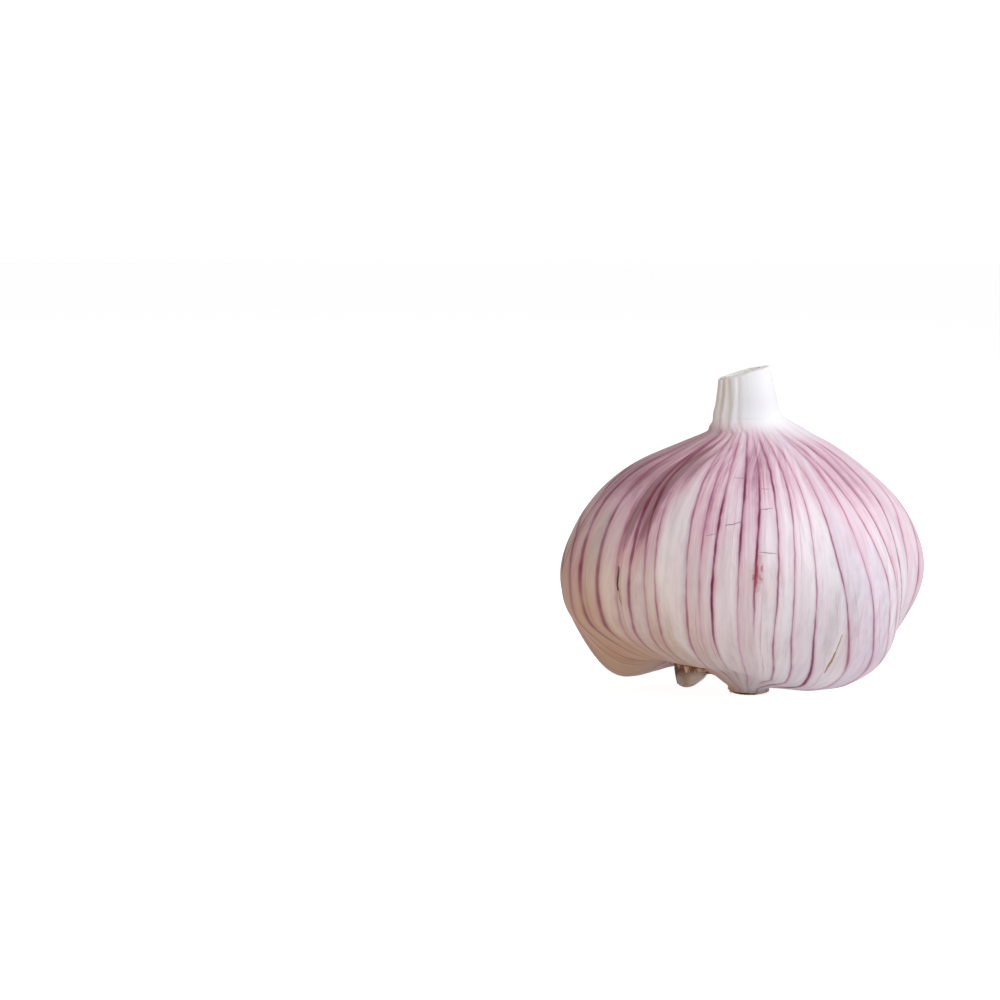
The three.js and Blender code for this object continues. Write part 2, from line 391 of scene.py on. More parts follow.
def over_cloves(azimuth, radius, height):
    """The turned outline pressed in at the grooves, pushed out at the bulges, raised and lowered at the
    heels, and leaned over at the shoulder, as x, y, z. Each term is a hill or a bell curve times soft
    steps."""
    sink = sum(depth * hill(azimuth, at, width) for at, depth, width in GROOVES)
    sink = sink * step(height, 0.8, 7) * (1 - step(height, 27, 44))
    out = sum(far * hill(azimuth, at, width) * bell(height - level, reach)
              for at, width, level, reach, far in BULGES)
    turned = np.radians(azimuth)
    x, y = radius * np.sin(turned), -radius * np.cos(turned)
    rise = sum(up * hill(azimuth, at, width) for at, width, up in HEELS)
    for at, distance, reach, drop in LOW_LOBES:
        at = math.radians(at)
        rise = rise - drop * bell(np.hypot(x - distance * math.sin(at), y + distance * math.cos(at)), reach)
    rise = rise * step(radius, 2.5, 13) * (1 - step(height, 3, 17))
    scale = 1 + (out * step(radius, COLLAR_RADIUS, COLLAR_RADIUS + 6) - sink) / radius
    leaned = x * scale + axis_shift(height) + shoulder_lean(radius, height)
    return np.stack([leaned, y * scale, height + rise], axis=-1)


def outward(points):
    """The outward direction at each point of a closed ring grid: the step round it crossed with the step
    up."""
    around = np.roll(points, -1, axis=1) - np.roll(points, 1, axis=1)
    up = np.gradient(points, axis=0)
    across = np.cross(around, up)
    return across / np.maximum(np.linalg.norm(across, axis=-1, keepdims=True), 1e-9)

# %% [markdown]
# ## The veins
# The skin's veins run like the meridians of a globe, but not evenly. Each front vein is written down as
# three azimuths, on the shoulder, at the waist and at the heel, with its darkness at those heights and
# how much the panel of skin after it is blushed. The back, where one vein is as good as another, gets
# seeded ones. From them comes one number for every point of the skin, its vein place, which is a whole
# number on each vein. A material can then draw a line wherever that number is whole, and the line is
# sharp whatever the size of the mesh.

# %% The veins
STATIONS = (36, 26, 12)  # the heights of shoulder, waist and heel, in mm
# Each vein: azimuths at the three stations, darkness at the three, and the blush of the panel after it.
FRONT_VEINS = np.array([
    [-103, -80, -74, 0.50, 0.45, 0.30, 0.55],
    [-86, -68, -66, 0.55, 0.55, 0.45, 0.50],
    [-66, -60, -57, 0.60, 0.70, 0.60, 0.40],
    [-55, -51, -49, 0.60, 0.75, 0.60, 0.15],
    [-46, -43, -42, 0.35, 0.35, 0.35, 0.10],
    [-40, -38, -38, 0.85, 0.85, 0.50, 0.15],
    [-36, -32, -31, 0.85, 0.50, 0.40, 0.45],
    [-31, -28, -27, 0.20, 0.35, 0.45, 0.00],
    [-18, -17, -17, 0.55, 0.55, 0.50, 0.30],
    [-13, -13, -13, 0.50, 0.40, 0.20, 0.40],
    [-8, -9, -9, 0.85, 1.00, 0.60, 0.15],
    [0, -1, -1, 0.95, 0.60, 0.35, 0.50],
    [6, 4, 4, 0.80, 0.95, 0.00, 0.20],
    [12, 11, 10, 0.85, 0.75, 0.60, 0.20],
    [18, 16, 16, 0.65, 0.50, 0.50, 0.10],
    [24, 23, 24, 0.45, 0.45, 0.80, 0.05],
    [30, 31, 37, 0.50, 0.80, 0.60, 0.15],
    [38, 40, 48, 0.45, 0.45, 0.50, 0.25],
    [43, 48, 56, 0.60, 0.55, 0.40, 0.30],
    [50, 53, 61, 0.60, 0.50, 0.35, 0.55],
    [62, 58, 65, 0.75, 0.75, 0.40, 0.15],
    [80, 76, 77, 0.40, 0.40, 0.40, 0.20],
    [91, 83, 83, 0.45, 0.60, 0.50, 0.30],
])


def back_veins(start, end, shift, rng):
    """Veins in uneven steps between two shoulder azimuths. A vein near the front leans as its front
    neighbour does, by shift at the waist and the heel, and one at the very back, 180 degrees round,
    stands straight."""
    azimuth = start + np.cumsum(rng.uniform(5, 9.5, 30))
    azimuth = azimuth[azimuth < end - 4]
    near = (180 - np.abs(azimuth)) / (180 - abs(start if abs(start) < 180 else end))
    stations = [azimuth + near * far for far in (0, *shift)]
    darkness = rng.uniform(0.3, 0.9, (3, len(azimuth)))
    blush = rng.uniform(0.2, 0.75, (1, len(azimuth))) ** 2
    return np.vstack([stations, darkness, blush]).T


def all_veins():
    """Every vein from the back round by the left, the front and the right to the back again."""
    rng = np.random.default_rng(11)
    seam = np.array([[-180, -180, -180, 0.6, 0.6, 0.6, 0.2]])
    left = back_veins(-180, FRONT_VEINS[0, 0], FRONT_VEINS[0, 1:3] - FRONT_VEINS[0, 0], rng)
    right = back_veins(FRONT_VEINS[-1, 0], 180, FRONT_VEINS[-1, 1:3] - FRONT_VEINS[-1, 0], rng)
    end = seam.copy()
    end[0, :3] = 180
    return np.vstack([seam, left, FRONT_VEINS, right, end])


VEINS = all_veins()
VEIN_STEPS = len(VEINS) - 1  # the vein place runs from 0 to this round the bulb
FOOT_VEINS = 1  # of every three veins, the one that reaches the foot


HELD_MIDDLE, HELD_REACH = 24, 15  # mm


def held(height):
    """A height kept softly near the stations, so that the parabola below doesn't run away near the
    poles."""
    return HELD_MIDDLE + HELD_REACH * np.tanh((height - HELD_MIDDLE) / HELD_REACH)


def at_heights(columns, height):
    """Each vein's value at each height: the parabola through its values at the three stations."""
    places = held(np.array(STATIONS, float))
    at = held(height)[..., None]
    total = 0
    for k in range(3):
        one, other = (places[j] for j in range(3) if j != k)
        total = total + columns[:, k] * (at - one) * (at - other) / ((places[k] - one) * (places[k] - other))
    return total


def vein_fields(azimuth, radius, height, length):
    """For a grid: the vein place, the width in degrees of the panel between its two veins, the darkness
    of the veins there, and the panel's blush. The place is a sum over the veins of how far past each one
    the azimuth lies, as a share of its panel, held between 0 and 1. On a vein the width is the mean of
    the two panels beside it, so that the vein is as wide on both its sides. Where the shoulder leans
    over, the azimuth is that of the moved point, so that the veins run straight to the neck."""
    turned = np.radians(azimuth)
    sideways = radius * np.sin(turned) + shoulder_lean(radius, height)
    moved = np.degrees(np.arctan2(sideways, radius * np.cos(turned)))
    low = 1 - step(length, 6, 34)
    lean = 8 * low * np.sin(np.radians(2 * azimuth))
    sway = 0.7 * ripple(azimuth, length, 5, 9, (2, 9), 0.12) * (1 - low)
    sway = sway * np.cos(np.radians(azimuth / 2)) ** 2 * (1 - bell(azimuth, 75))
    looked_up = azimuth + turn(moved, azimuth) * (1 - step(np.abs(azimuth), 120, 175)) - lean + sway
    veins = at_heights(VEINS[:, 0:3], height[:, 0])
    place = np.zeros_like(azimuth)
    for k in range(VEIN_STEPS):
        start, end = veins[:, k, None], veins[:, k + 1, None]
        place += np.clip((looked_up - start) / (end - start), 0, 1)
    panel = np.clip(place.astype(int), 0, VEIN_STEPS - 1)
    row = np.arange(len(height))[:, None]
    widths = np.diff(veins, axis=1)
    nearest = np.round(place).astype(int)
    at_vein = (widths[row, nearest - 1] + widths[row, nearest % VEIN_STEPS]) / 2
    from_vein = step(np.abs(place - nearest), 0.02, 0.4)
    width = at_vein + (widths[row, panel] - at_vein) * from_vein
    dark = np.clip(at_heights(VEINS[:, 3:6], height[:, 0]), 0, 1)
    share = place - panel
    darkness = dark[row, panel] * (1 - share) + dark[row, panel + 1] * share
    reaches_foot = np.where(nearest % 3 == FOOT_VEINS, 1.0, 0.0)
    darkness = darkness * (1 - 0.35 * step(height, 37, 42)) * (1 - 0.95 * step(height, 43, 46.8))
    darkness = darkness * (reaches_foot + (1 - reaches_foot) * step(length, 2, 9))
    darkness = darkness * (0.5 + 0.5 * step(length, 0.3, 3))
    return place, width, darkness, VEINS[panel, 6] * (0.25 + 0.75 * step(height, 3, 16))


print("veins:", VEIN_STEPS, "of which at the front:", len(FRONT_VEINS))

# %% [markdown]
# ## The skin's relief
# A dry garlic skin isn't smooth. Each panel between two veins is crowned a little, the veins lie in
# shallow valleys, the whole skin buckles in long soft waves, and it gathers into pleats at the neck and
# at the root. These are heights of tenths of a millimetre, and they are in the mesh, because light grazes
# them at the bulb's edge. Slits and tears at the front are pressed in as well, and the skin sinks out of
# sight under the bare clove, with a raised lip round it. The stem's long folds start on the shoulder, so
# the skin and the stem share them.

# %% The skin's relief
HEEL_AZIMUTH, HEEL_DISTANCE, HEEL_CENTRE_HEIGHT = -102, 9.3, 5.65
HEEL_HALF_SIZE = np.array([3.1, 3.8, 5.8])  # along the radius, round the bulb, along its axis
HEEL_TILT = 27  # degrees, its lower end outwards
# Where the skin has slit or torn: from and to, each as azimuth and height, and the depth in mm.
SLITS = [((-42, 24.2), (-41.6, 20.8), 0.30), ((-41.4, 20.8), (-40.4, 18.7), 0.25),
         ((34.2, 13.8), (33.2, 8.0), 0.22)]
SLIT_REACH = 0.4  # mm from a slit's line to where it is a third as deep


def heel_frame():
    """The bare clove's middle, and its three directions: out along the radius, round the bulb, and up.
    The first and the last are tilted, so that the lower end leans out."""
    turned, tilt = math.radians(HEEL_AZIMUTH), math.radians(HEEL_TILT)
    out = np.array([math.sin(turned), -math.cos(turned), 0])
    along = np.array([math.cos(turned), math.sin(turned), 0])
    up = np.array([0, 0, 1])
    tilted = [out * math.cos(tilt) + up * math.sin(tilt), along, up * math.cos(tilt) - out * math.sin(tilt)]
    return out * HEEL_DISTANCE + up * HEEL_CENTRE_HEIGHT, np.stack(tilted)


def heel_reach(points):
    """How far a point is from the bare clove's middle, where 1 is on the clove's surface."""
    middle, directions = heel_frame()
    return np.linalg.norm(((points - middle) @ directions.T) / HEEL_HALF_SIZE, axis=-1)


def slit_depth(azimuth, height, radius):
    """The slits' depth: for each, a bell curve of the distance in mm from the line between its two ends."""
    total = np.zeros_like(azimuth)
    scale = np.radians(1) * radius
    for (az0, h0), (az1, h1), depth in SLITS:
        across, up = turn(azimuth, az0) * scale, height - h0
        to_across, to_up = (az1 - az0) * scale, h1 - h0
        share = np.clip((across * to_across + up * to_up) / (to_across**2 + to_up**2), 0, 1)
        gap = np.hypot(across - share * to_across, up - share * to_up)
        total += depth * np.exp(-((gap / SLIT_REACH) ** 2))
    return total


# Each long fold of the outer leaf base: azimuth, half width in degrees, how far it stands out in mm, and
# from what height to what height.
FOLDS = [(-66, 9, 0.08, 44, 56), (-52, 5, -0.14, 43, 56), (-43, 5, 0.15, 43, 51.5),
         (-33, 5, -0.14, 43.5, 56), (-23, 5, 0.17, 44, 55), (-12, 4, -0.12, 44, 56), (120, 9, 0.15, 47, 56),
         (141, 5, -0.25, 47, 56), (158, 8, 0.2, 48, 54), (178, 5, -0.28, 47, 56), (196, 9, 0.2, 46, 53),
         (222, 6, -0.25, 47, 56), (243, 8, 0.16, 48, 56), (262, 6, -0.2, 47, 56)]


def fold_height(azimuth, height):
    """How far the folds stand out, in mm: a bell curve across each, with a soft start and end along it.
    They grow from nothing on the shoulder to their full size at the collar."""
    total = 0
    for at, width, out, start, end in FOLDS:
        drift = at + 2.5 * np.sin(height / 3 + at)
        along = step(height, start - 0.8, start + 1) * (1 - step(height, end - 1.5, end + 1.5))
        total = total + out * bell(turn(azimuth, drift), width) * along
    return total * step(height, 43, 48)


def skin_relief(azimuth, radius, height, length, fields):
    """How far the skin stands out from the plain bulb, in mm: panels crowned by a parabola, a valley at
    each vein, buckles, fine ripples, and pleats that come in towards the neck and the root."""
    place, width, darkness, _ = fields
    panel_mm = width * np.radians(1) * radius
    share = place - np.floor(place)
    beside = np.minimum(share, 1 - share) * panel_mm
    middle = step(length, 6, 16) * (1 - step(height, 40, 45))
    crown = 0.11 * share * (1 - share) * np.clip(panel_mm / 3, 0.3, 1.3)
    valley = 0.035 * np.clip(darkness, 0.3, 1) * bell(beside, 0.35)
    buckle = 0.10 * ripple(azimuth, length, 21, 14, (4, 15), 0.06)
    fine = 0.014 * ripple(azimuth, length, 22, 18, (50, 120), 0.12)
    pleats = 0.045 * ripple(azimuth, length, 23, 12, (26, 46), 0.04) * step(height, 37, 44)
    under = (1 - step(length, 3, 12)) * step(radius, FOOT_RADIUS, FOOT_RADIUS + 1)
    gathers = 0.02 * ripple(azimuth, length, 24, 12, (8, 20), 0.08) * under
    wave = (crown - valley + buckle) * middle + fine + pleats
    wave = wave * step(radius, FOOT_RADIUS, FOOT_RADIUS + 2)
    quiet = 1 - step(height, 44, 46.8)  # near the stem only the flare and the long folds are left
    return (wave + gathers) * quiet + side_flare(azimuth, height) + fold_height(azimuth, height)

# %% [markdown]
# ## Shared finishes
# Three effects are used by more than one material, so each is a node group: the vein lines with their
# halo, the fine fibres of a dry leaf, and a mark such as a crack, which is the distance from a short line
# on the surface.

# %% The vein lines
def vein_lines_group():
    """Lines where Place is whole. The distance to the nearest vein in mm is its share of a step times the
    step's width. A noise that each vein reads at its own place, so it moves the line and not its sides,
    bends the line a little and makes it thicker, thinner, darker and paler along its length."""
    inputs = {"Place": 0, "Along": 0, "Step width": 3, "Darkness": 0.5, "Line": 0.15, "Halo": 0.8,
              "Wobble": 0.1}
    tree, given, given_out = effect("vein_lines", inputs, ("Line", "Halo"))
    number = calc(tree, "ROUND", given["Place"])
    seat = calc(tree, "MULTIPLY", number, 7.31)
    bend_at = flat_place(tree, seat, calc(tree, "MULTIPLY", given["Along"], 0.35))
    bend_noise = soft_noise(tree, bend_at, 1.0, 3.0)
    bend = calc(tree, "MULTIPLY", calc(tree, "SUBTRACT", bend_noise, 0.5), given["Wobble"])
    offset = calc(tree, "MULTIPLY", calc(tree, "SUBTRACT", given["Place"], number), given["Step width"])
    distance = calc(tree, "ABSOLUTE", calc(tree, "MULTIPLY_ADD", bend, 4.0, offset))
    tone_at = flat_place(tree, seat, calc(tree, "MULTIPLY", given["Along"], 0.16))
    tone = soft_noise(tree, tone_at, 1.0, 2.0)
    varied = node(tree, "ShaderNodeMapRange", {"Value": tone, "From Min": 0.3, "From Max": 0.7,
                                               "To Min": 0.55, "To Max": 1.35})
    strong = calc(tree, "MULTIPLY", given["Darkness"], varied.outputs[0])
    thick = calc(tree, "MULTIPLY", given["Line"], calc(tree, "MULTIPLY_ADD", strong, 0.8, 0.5))
    line = calc(tree, "SUBTRACT", 1.0, between(tree, distance, calc(tree, "MULTIPLY", thick, 0.3), thick))
    tree.links.new(calc(tree, "MINIMUM", 1.0, calc(tree, "MULTIPLY", line, strong)), given_out["Line"])
    ratio = calc(tree, "DIVIDE", distance, given["Halo"])
    bell = calc(tree, "EXPONENT", calc(tree, "MULTIPLY", calc(tree, "MULTIPLY", ratio, ratio), -1.0))
    tree.links.new(calc(tree, "MULTIPLY", bell, strong), given_out["Halo"])
    return tree


VEIN_LINES = vein_lines_group()

# %% The fibres
def fibres_group():
    """Long thin streaks, from 0 to 1: a noise that is fine across the leaf and drawn out along it."""
    inputs = {"Across": 0, "Along": 0, "Fineness": 2, "Length": 8}
    tree, given, given_out = effect("fibres", inputs, ("Streaks",))
    across = calc(tree, "MULTIPLY", given["Across"], given["Fineness"])
    along = calc(tree, "DIVIDE", given["Along"], given["Length"])
    noise = soft_noise(tree, flat_place(tree, across, along), 1.0, 3.0, 0.6)
    tree.links.new(between(tree, noise, 0.3, 0.7), given_out["Streaks"])
    return tree


FIBRES = fibres_group()

# %% A mark on the surface
def mark_group():
    """1 on the line from Start to End, 0 further than Width from it. At is the point's own place in mm. A
    noise moves that place about by up to Waver, so the line wanders as a crack does."""
    inputs = {"At": (0, 0, 0), "Start": (0, 0, 0), "End": (1, 0, 0), "Width": 0.1, "Waver": 0.3}
    tree, given, given_out = effect("mark", inputs, ("Mark",))
    noise = node(tree, "ShaderNodeTexNoise", {"Vector": given["At"], "Scale": 0.9, "Detail": 4.0})
    middle = node(tree, "ShaderNodeVectorMath", {0: noise.outputs["Color"], 1: (0.5, 0.5, 0.5)},
                  operation="SUBTRACT")
    moved = node(tree, "ShaderNodeVectorMath", {0: middle.outputs[0], "Scale": given["Waver"]},
                 operation="SCALE")
    flat = node(tree, "ShaderNodeVectorMath", {0: moved.outputs[0], 1: (1, 1, 0)}, operation="MULTIPLY")
    at = node(tree, "ShaderNodeVectorMath", {0: given["At"], 1: flat.outputs[0]}, operation="ADD")
    whole = node(tree, "ShaderNodeVectorMath", {0: given["End"], 1: given["Start"]}, operation="SUBTRACT")
    here = node(tree, "ShaderNodeVectorMath", {0: at.outputs[0], 1: given["Start"]}, operation="SUBTRACT")
    both = node(tree, "ShaderNodeVectorMath", {0: here.outputs[0], 1: whole.outputs[0]},
                operation="DOT_PRODUCT")
    size = node(tree, "ShaderNodeVectorMath", {0: whole.outputs[0], 1: whole.outputs[0]},
                operation="DOT_PRODUCT")
    ratio = calc(tree, "DIVIDE", both.outputs["Value"], size.outputs["Value"])
    share = calc(tree, "MINIMUM", 1.0, calc(tree, "MAXIMUM", 0.0, ratio))
    nearest = node(tree, "ShaderNodeVectorMath", {0: whole.outputs[0], "Scale": share}, operation="SCALE")
    gap = node(tree, "ShaderNodeVectorMath", {0: here.outputs[0], 1: nearest.outputs[0]},
               operation="DISTANCE")
    ends = calc(tree, "MULTIPLY_ADD", calc(tree, "ABSOLUTE", calc(tree, "SUBTRACT", share, 0.5)), -0.8, 1.0)
    width = calc(tree, "MULTIPLY", given["Width"], ends)
    inner = calc(tree, "MULTIPLY", width, 0.3)
    line = calc(tree, "SUBTRACT", 1.0, between(tree, gap.outputs["Value"], inner, width))
    tree.links.new(line, given_out["Mark"])
    return tree


MARK = mark_group()
print("node groups:", [group.name for group in bpy.data.node_groups])

# %% [markdown]
# ## The striped skin's finish
# The skin is a pearly white leaf with a pink blush that runs from each vein into the panel beside it and
# thickens on the shoulders. Warm tan and grey places come where the leaf is thin or has dried. Painted
# shade darkens the groove on the front left, in mauve, umber and some tan, and a painted warm light, as
# if thrown back by things nearby, tints the skin low on the left. Broad colours like these are smooth
# hills, so the mesh holds them. Veins, fibres and cracks are finer than the mesh, so nodes draw them.

# %% Broad colours of the skin
# Each spot: how much, its azimuth and half width in degrees, and its height and half height in mm. A spot
# that is below 0 takes colour away.
# The strongest spots, at -39.5 and -32 degrees, are painted shade in the groove between two cloves on the
# front left; the others are the skin's own mauve.
MAUVE_AND_SHADE_SPOTS = [
    (0.7, -76, 34, 40, 6), (0.50, 48, 26, 38, 5), (0.30, 5, 22, 40, 4), (0.30, 90, 22, 26, 14),
    (0.45, 180, 60, 36, 9), (0.30, -84, 16, 24, 9), (1.50, -39.5, 8.5, 34, 8), (0.40, 40, 4, 30, 3),
    (0.25, -11, 6, 33, 5), (1.20, -32, 11, 41, 4), (0.40, 7, 17, 42, 3.5), (0.20, -5, 18, 34, 6),
    (0.25, 60, 22, 41, 4), (0.50, -58, 12, 38, 4), (0.35, -72, 8, 28, 10), (0.35, -76, 6, 31, 7),
    (-0.80, -38, 7, 15, 8), (-0.30, -27, 9, 11, 7), (-0.20, 0, 25, 4, 5),
]
# The spot at -38 degrees and 23 mm is painted shade low in the groove on the front left; the others are the
# skin's own tan.
TAN_SPOTS = [
    (0.95, -58, 28, 9, 9), (0.45, -38, 6, 23, 6), (0.55, -80, 22, 13, 9), (0.20, 5, 8, 24, 4),
    (0.35, 150, 40, 10, 8), (0.25, 3, 10, 9, 8), (0.30, 37, 5, 12, 5), (0.40, -26, 16, 12, 8),
    (0.35, -78, 12, 20, 10), (-0.50, -38, 7, 16, 8),
]
GREY_SPOTS = [
    (0.45, 27, 9, 15, 7), (0.35, -20, 16, 8, 9), (0.45, -34, 16, 5, 5), (-0.30, -38, 7, 16, 8),
    (0.65, -66, 24, 30, 9), (0.30, 200, 50, 18, 14), (0.65, -84, 38, 44, 5), (0.30, -12, 8, 26, 8),
]
PALE_SPOTS = [
    (0.9, -38, 7, 16, 8), (0.8, -25, 8, 22, 9), (0.35, 27, 16, 24, 7), (0.3, 12, 12, 12, 10),
    (0.8, -54, 4, 26, 7), (0.5, 50, 20, 20, 9), (0.7, 0, 34, 1.2, 1.2),
]


def spotted(azimuth, height, spots):
    """A sum of soft oval spots."""
    return sum(much * spot(azimuth, height, *where) for much, *where in spots)


def broad_colours(azimuth, height):
    """Four shares: mauve with painted shade, tan, grey and pale, each a sum of soft oval spots. The first
    goes up to 2, where the skin is darkest, most of all in the painted shade of the groove on the front
    left, and down to -0.6, where it takes the blush away. The others stay between 0 and 1. Tan also rings
    the foot."""
    streaky = 1 + 0.35 * ripple(azimuth, height, 31, 20, (15, 60), 0.05)
    mauve_and_shade = spotted(azimuth, height, MAUVE_AND_SHADE_SPOTS)
    tan = spotted(azimuth, height, TAN_SPOTS) + 0.9 * (1 - step(height, 0.45, 0.95))
    grey = spotted(azimuth, height, GREY_SPOTS)
    pale = spotted(azimuth, height, PALE_SPOTS)
    limits = ((mauve_and_shade, -0.6, 2), (tan, 0, 1), (grey, 0, 1), (pale, 0, 1))
    return [np.clip(share * streaky, least, most) for share, least, most in limits]


def warm_bounce_reach(azimuth, height):
    """How much painted warm light, as if thrown back by things nearby, tints the skin: most low on the
    left, least on the right and high up.
    """
    return bell(turn(azimuth, -72), 50) * (1 - 0.75 * step(height, 18, 34))


def vein_thickness(azimuth, height):
    """How many times as thick and soft the veins are as at the front: most on the left, somewhat low on the
    right and at the top, and a little behind."""
    left = 3.3 * bell(turn(azimuth, -80), 44) * step(height, 4, 12)
    right = 0.9 * bell(turn(azimuth, 48), 24) * (1 - step(height, 8, 22))
    return 1 + left + right + 0.3 * bell(turn(azimuth, 170), 60) + 0.5 * step(height, 38, 44)


def neck_beige(azimuth):
    """How beige the neck is round the stem: most at the left, and somewhat behind."""
    return np.clip(0.95 * bell(turn(azimuth, -66), 46) + 0.7 * bell(turn(azimuth, 200), 60), 0, 0.95)


FULL_FOLD = 0.16  # mm


def fold_shares(azimuth, height):
    """How much painted shade a place on the neck takes for lying deep in a fold, less where the neck is
    white, and how much painted highlight for lying out on a ridge, both from 0 to 1."""
    share = fold_height(azimuth, height) / FULL_FOLD
    return np.clip(-share, 0, 1) * np.clip(neck_beige(azimuth) + 0.2, 0, 1), np.clip(share, 0, 1)


def neck_foot(azimuth, height):
    """How much pinkish grey the neck takes at its foot: least on the right."""
    return (1 - step(height, 45.8, 48.6)) * (1 - 0.75 * bell(turn(azimuth, 55), 55))


# %% The striped skin's material
WHITE_SKIN = screen(237, 228, 233)
PEARL = screen(243, 239, 244)
CREAM = screen(232, 219, 210)
LILAC = screen(214, 196, 216)
BLUSH = screen(216, 176, 192)
MAUVE = screen(164, 114, 138)
# The skin's own brown on the left shoulder, and painted shade in the groove on the front left.
UMBER_AND_SHADE = screen(134, 84, 92)
DUSK = screen(186, 172, 180)
# A painted warm light, as if thrown back by things nearby, low on the left.
WARM_BOUNCE_TINT = screen(244, 223, 195)  # this one multiplies the colour under it
TAN = screen(196, 158, 124)
GREY = screen(174, 162, 158)
DARK_VEIN = screen(112, 20, 60)
ROSE_VEIN = screen(160, 66, 100)
SOFT_VEIN = screen(124, 62, 84)
BROWN_VEIN = screen(112, 44, 58)
BESIDE_VEIN = screen(178, 104, 146)
STAIN = screen(160, 56, 84)
CRACK = screen(112, 86, 108)
TEAR = screen(150, 112, 52)
SLIT = screen(58, 14, 46)
CHALK = screen(237, 237, 241)
NECK_BEIGE = screen(248, 238, 233)
NECK_FOOT = screen(224, 208, 214)
FOLD_SHADE = screen(172, 158, 150)
MM_PER_DEGREE = 0.52  # at the waist, for the marks
LINE_WIDTH, HALO_WIDTH, BESIDE_WIDTH = 0.19, 0.62, 0.28  # of a vein at the front, in mm
THIN_VEINS = 3.0  # fine veins to each panel
# Each mark: from and to as azimuth and height, width in mm, waver in mm, colour, strength.
MARKS = [
    ((-6, 32.2), (-0.5, 32.9), 0.13, 0.5, CRACK, 0.8), ((6, 34.7), (10.5, 34.8), 0.11, 0.4, CRACK, 0.7),
    ((-5.5, 39.4), (-1, 39.4), 0.11, 0.4, CRACK, 0.5), ((7, 37.7), (10.5, 37.7), 0.10, 0.4, CRACK, 0.5),
    ((-12, 30.6), (-9, 30.8), 0.11, 0.4, CRACK, 0.6), ((5, 28.3), (10.5, 28.0), 0.13, 0.3, CRACK, 0.7),
    ((-42, 24.6), (-41.7, 20.8), 0.30, 0.3, SLIT, 0.95),
    ((-41.4, 20.9), (-40.5, 18.4), 0.25, 0.4, TEAR, 0.6),
    ((34.1, 14.1), (33.6, 10.2), 0.22, 0.3, TEAR, 0.7), ((33.6, 10.8), (33.0, 7.2), 0.42, 0.4, TEAR, 0.9),
    ((42, 2.9), (42.6, 2.7), 0.35, 0.4, SLIT, 0.7), ((4.8, 27.4), (4.2, 22.4), 1.30, 1.2, STAIN, 0.30),
    ((4.4, 26.3), (4.0, 22.8), 0.42, 0.8, STAIN, 0.75), ((6.1, 26.2), (5.8, 25.5), 0.34, 1.2, STAIN, 0.65),
    ((3.2, 24.7), (3.4, 24.0), 0.30, 1.2, STAIN, 0.50), ((5.3, 24.7), (5.2, 23.9), 0.26, 1.2, STAIN, 0.45),
]


def uv_parts(tree, name):
    """The two values of one of the piece's own maps."""
    made = node(tree, "ShaderNodeUVMap", uv_map=name)
    parts = node(tree, "ShaderNodeSeparateXYZ", {"Vector": made.outputs["UV"]}).outputs
    return parts["X"], parts["Y"]


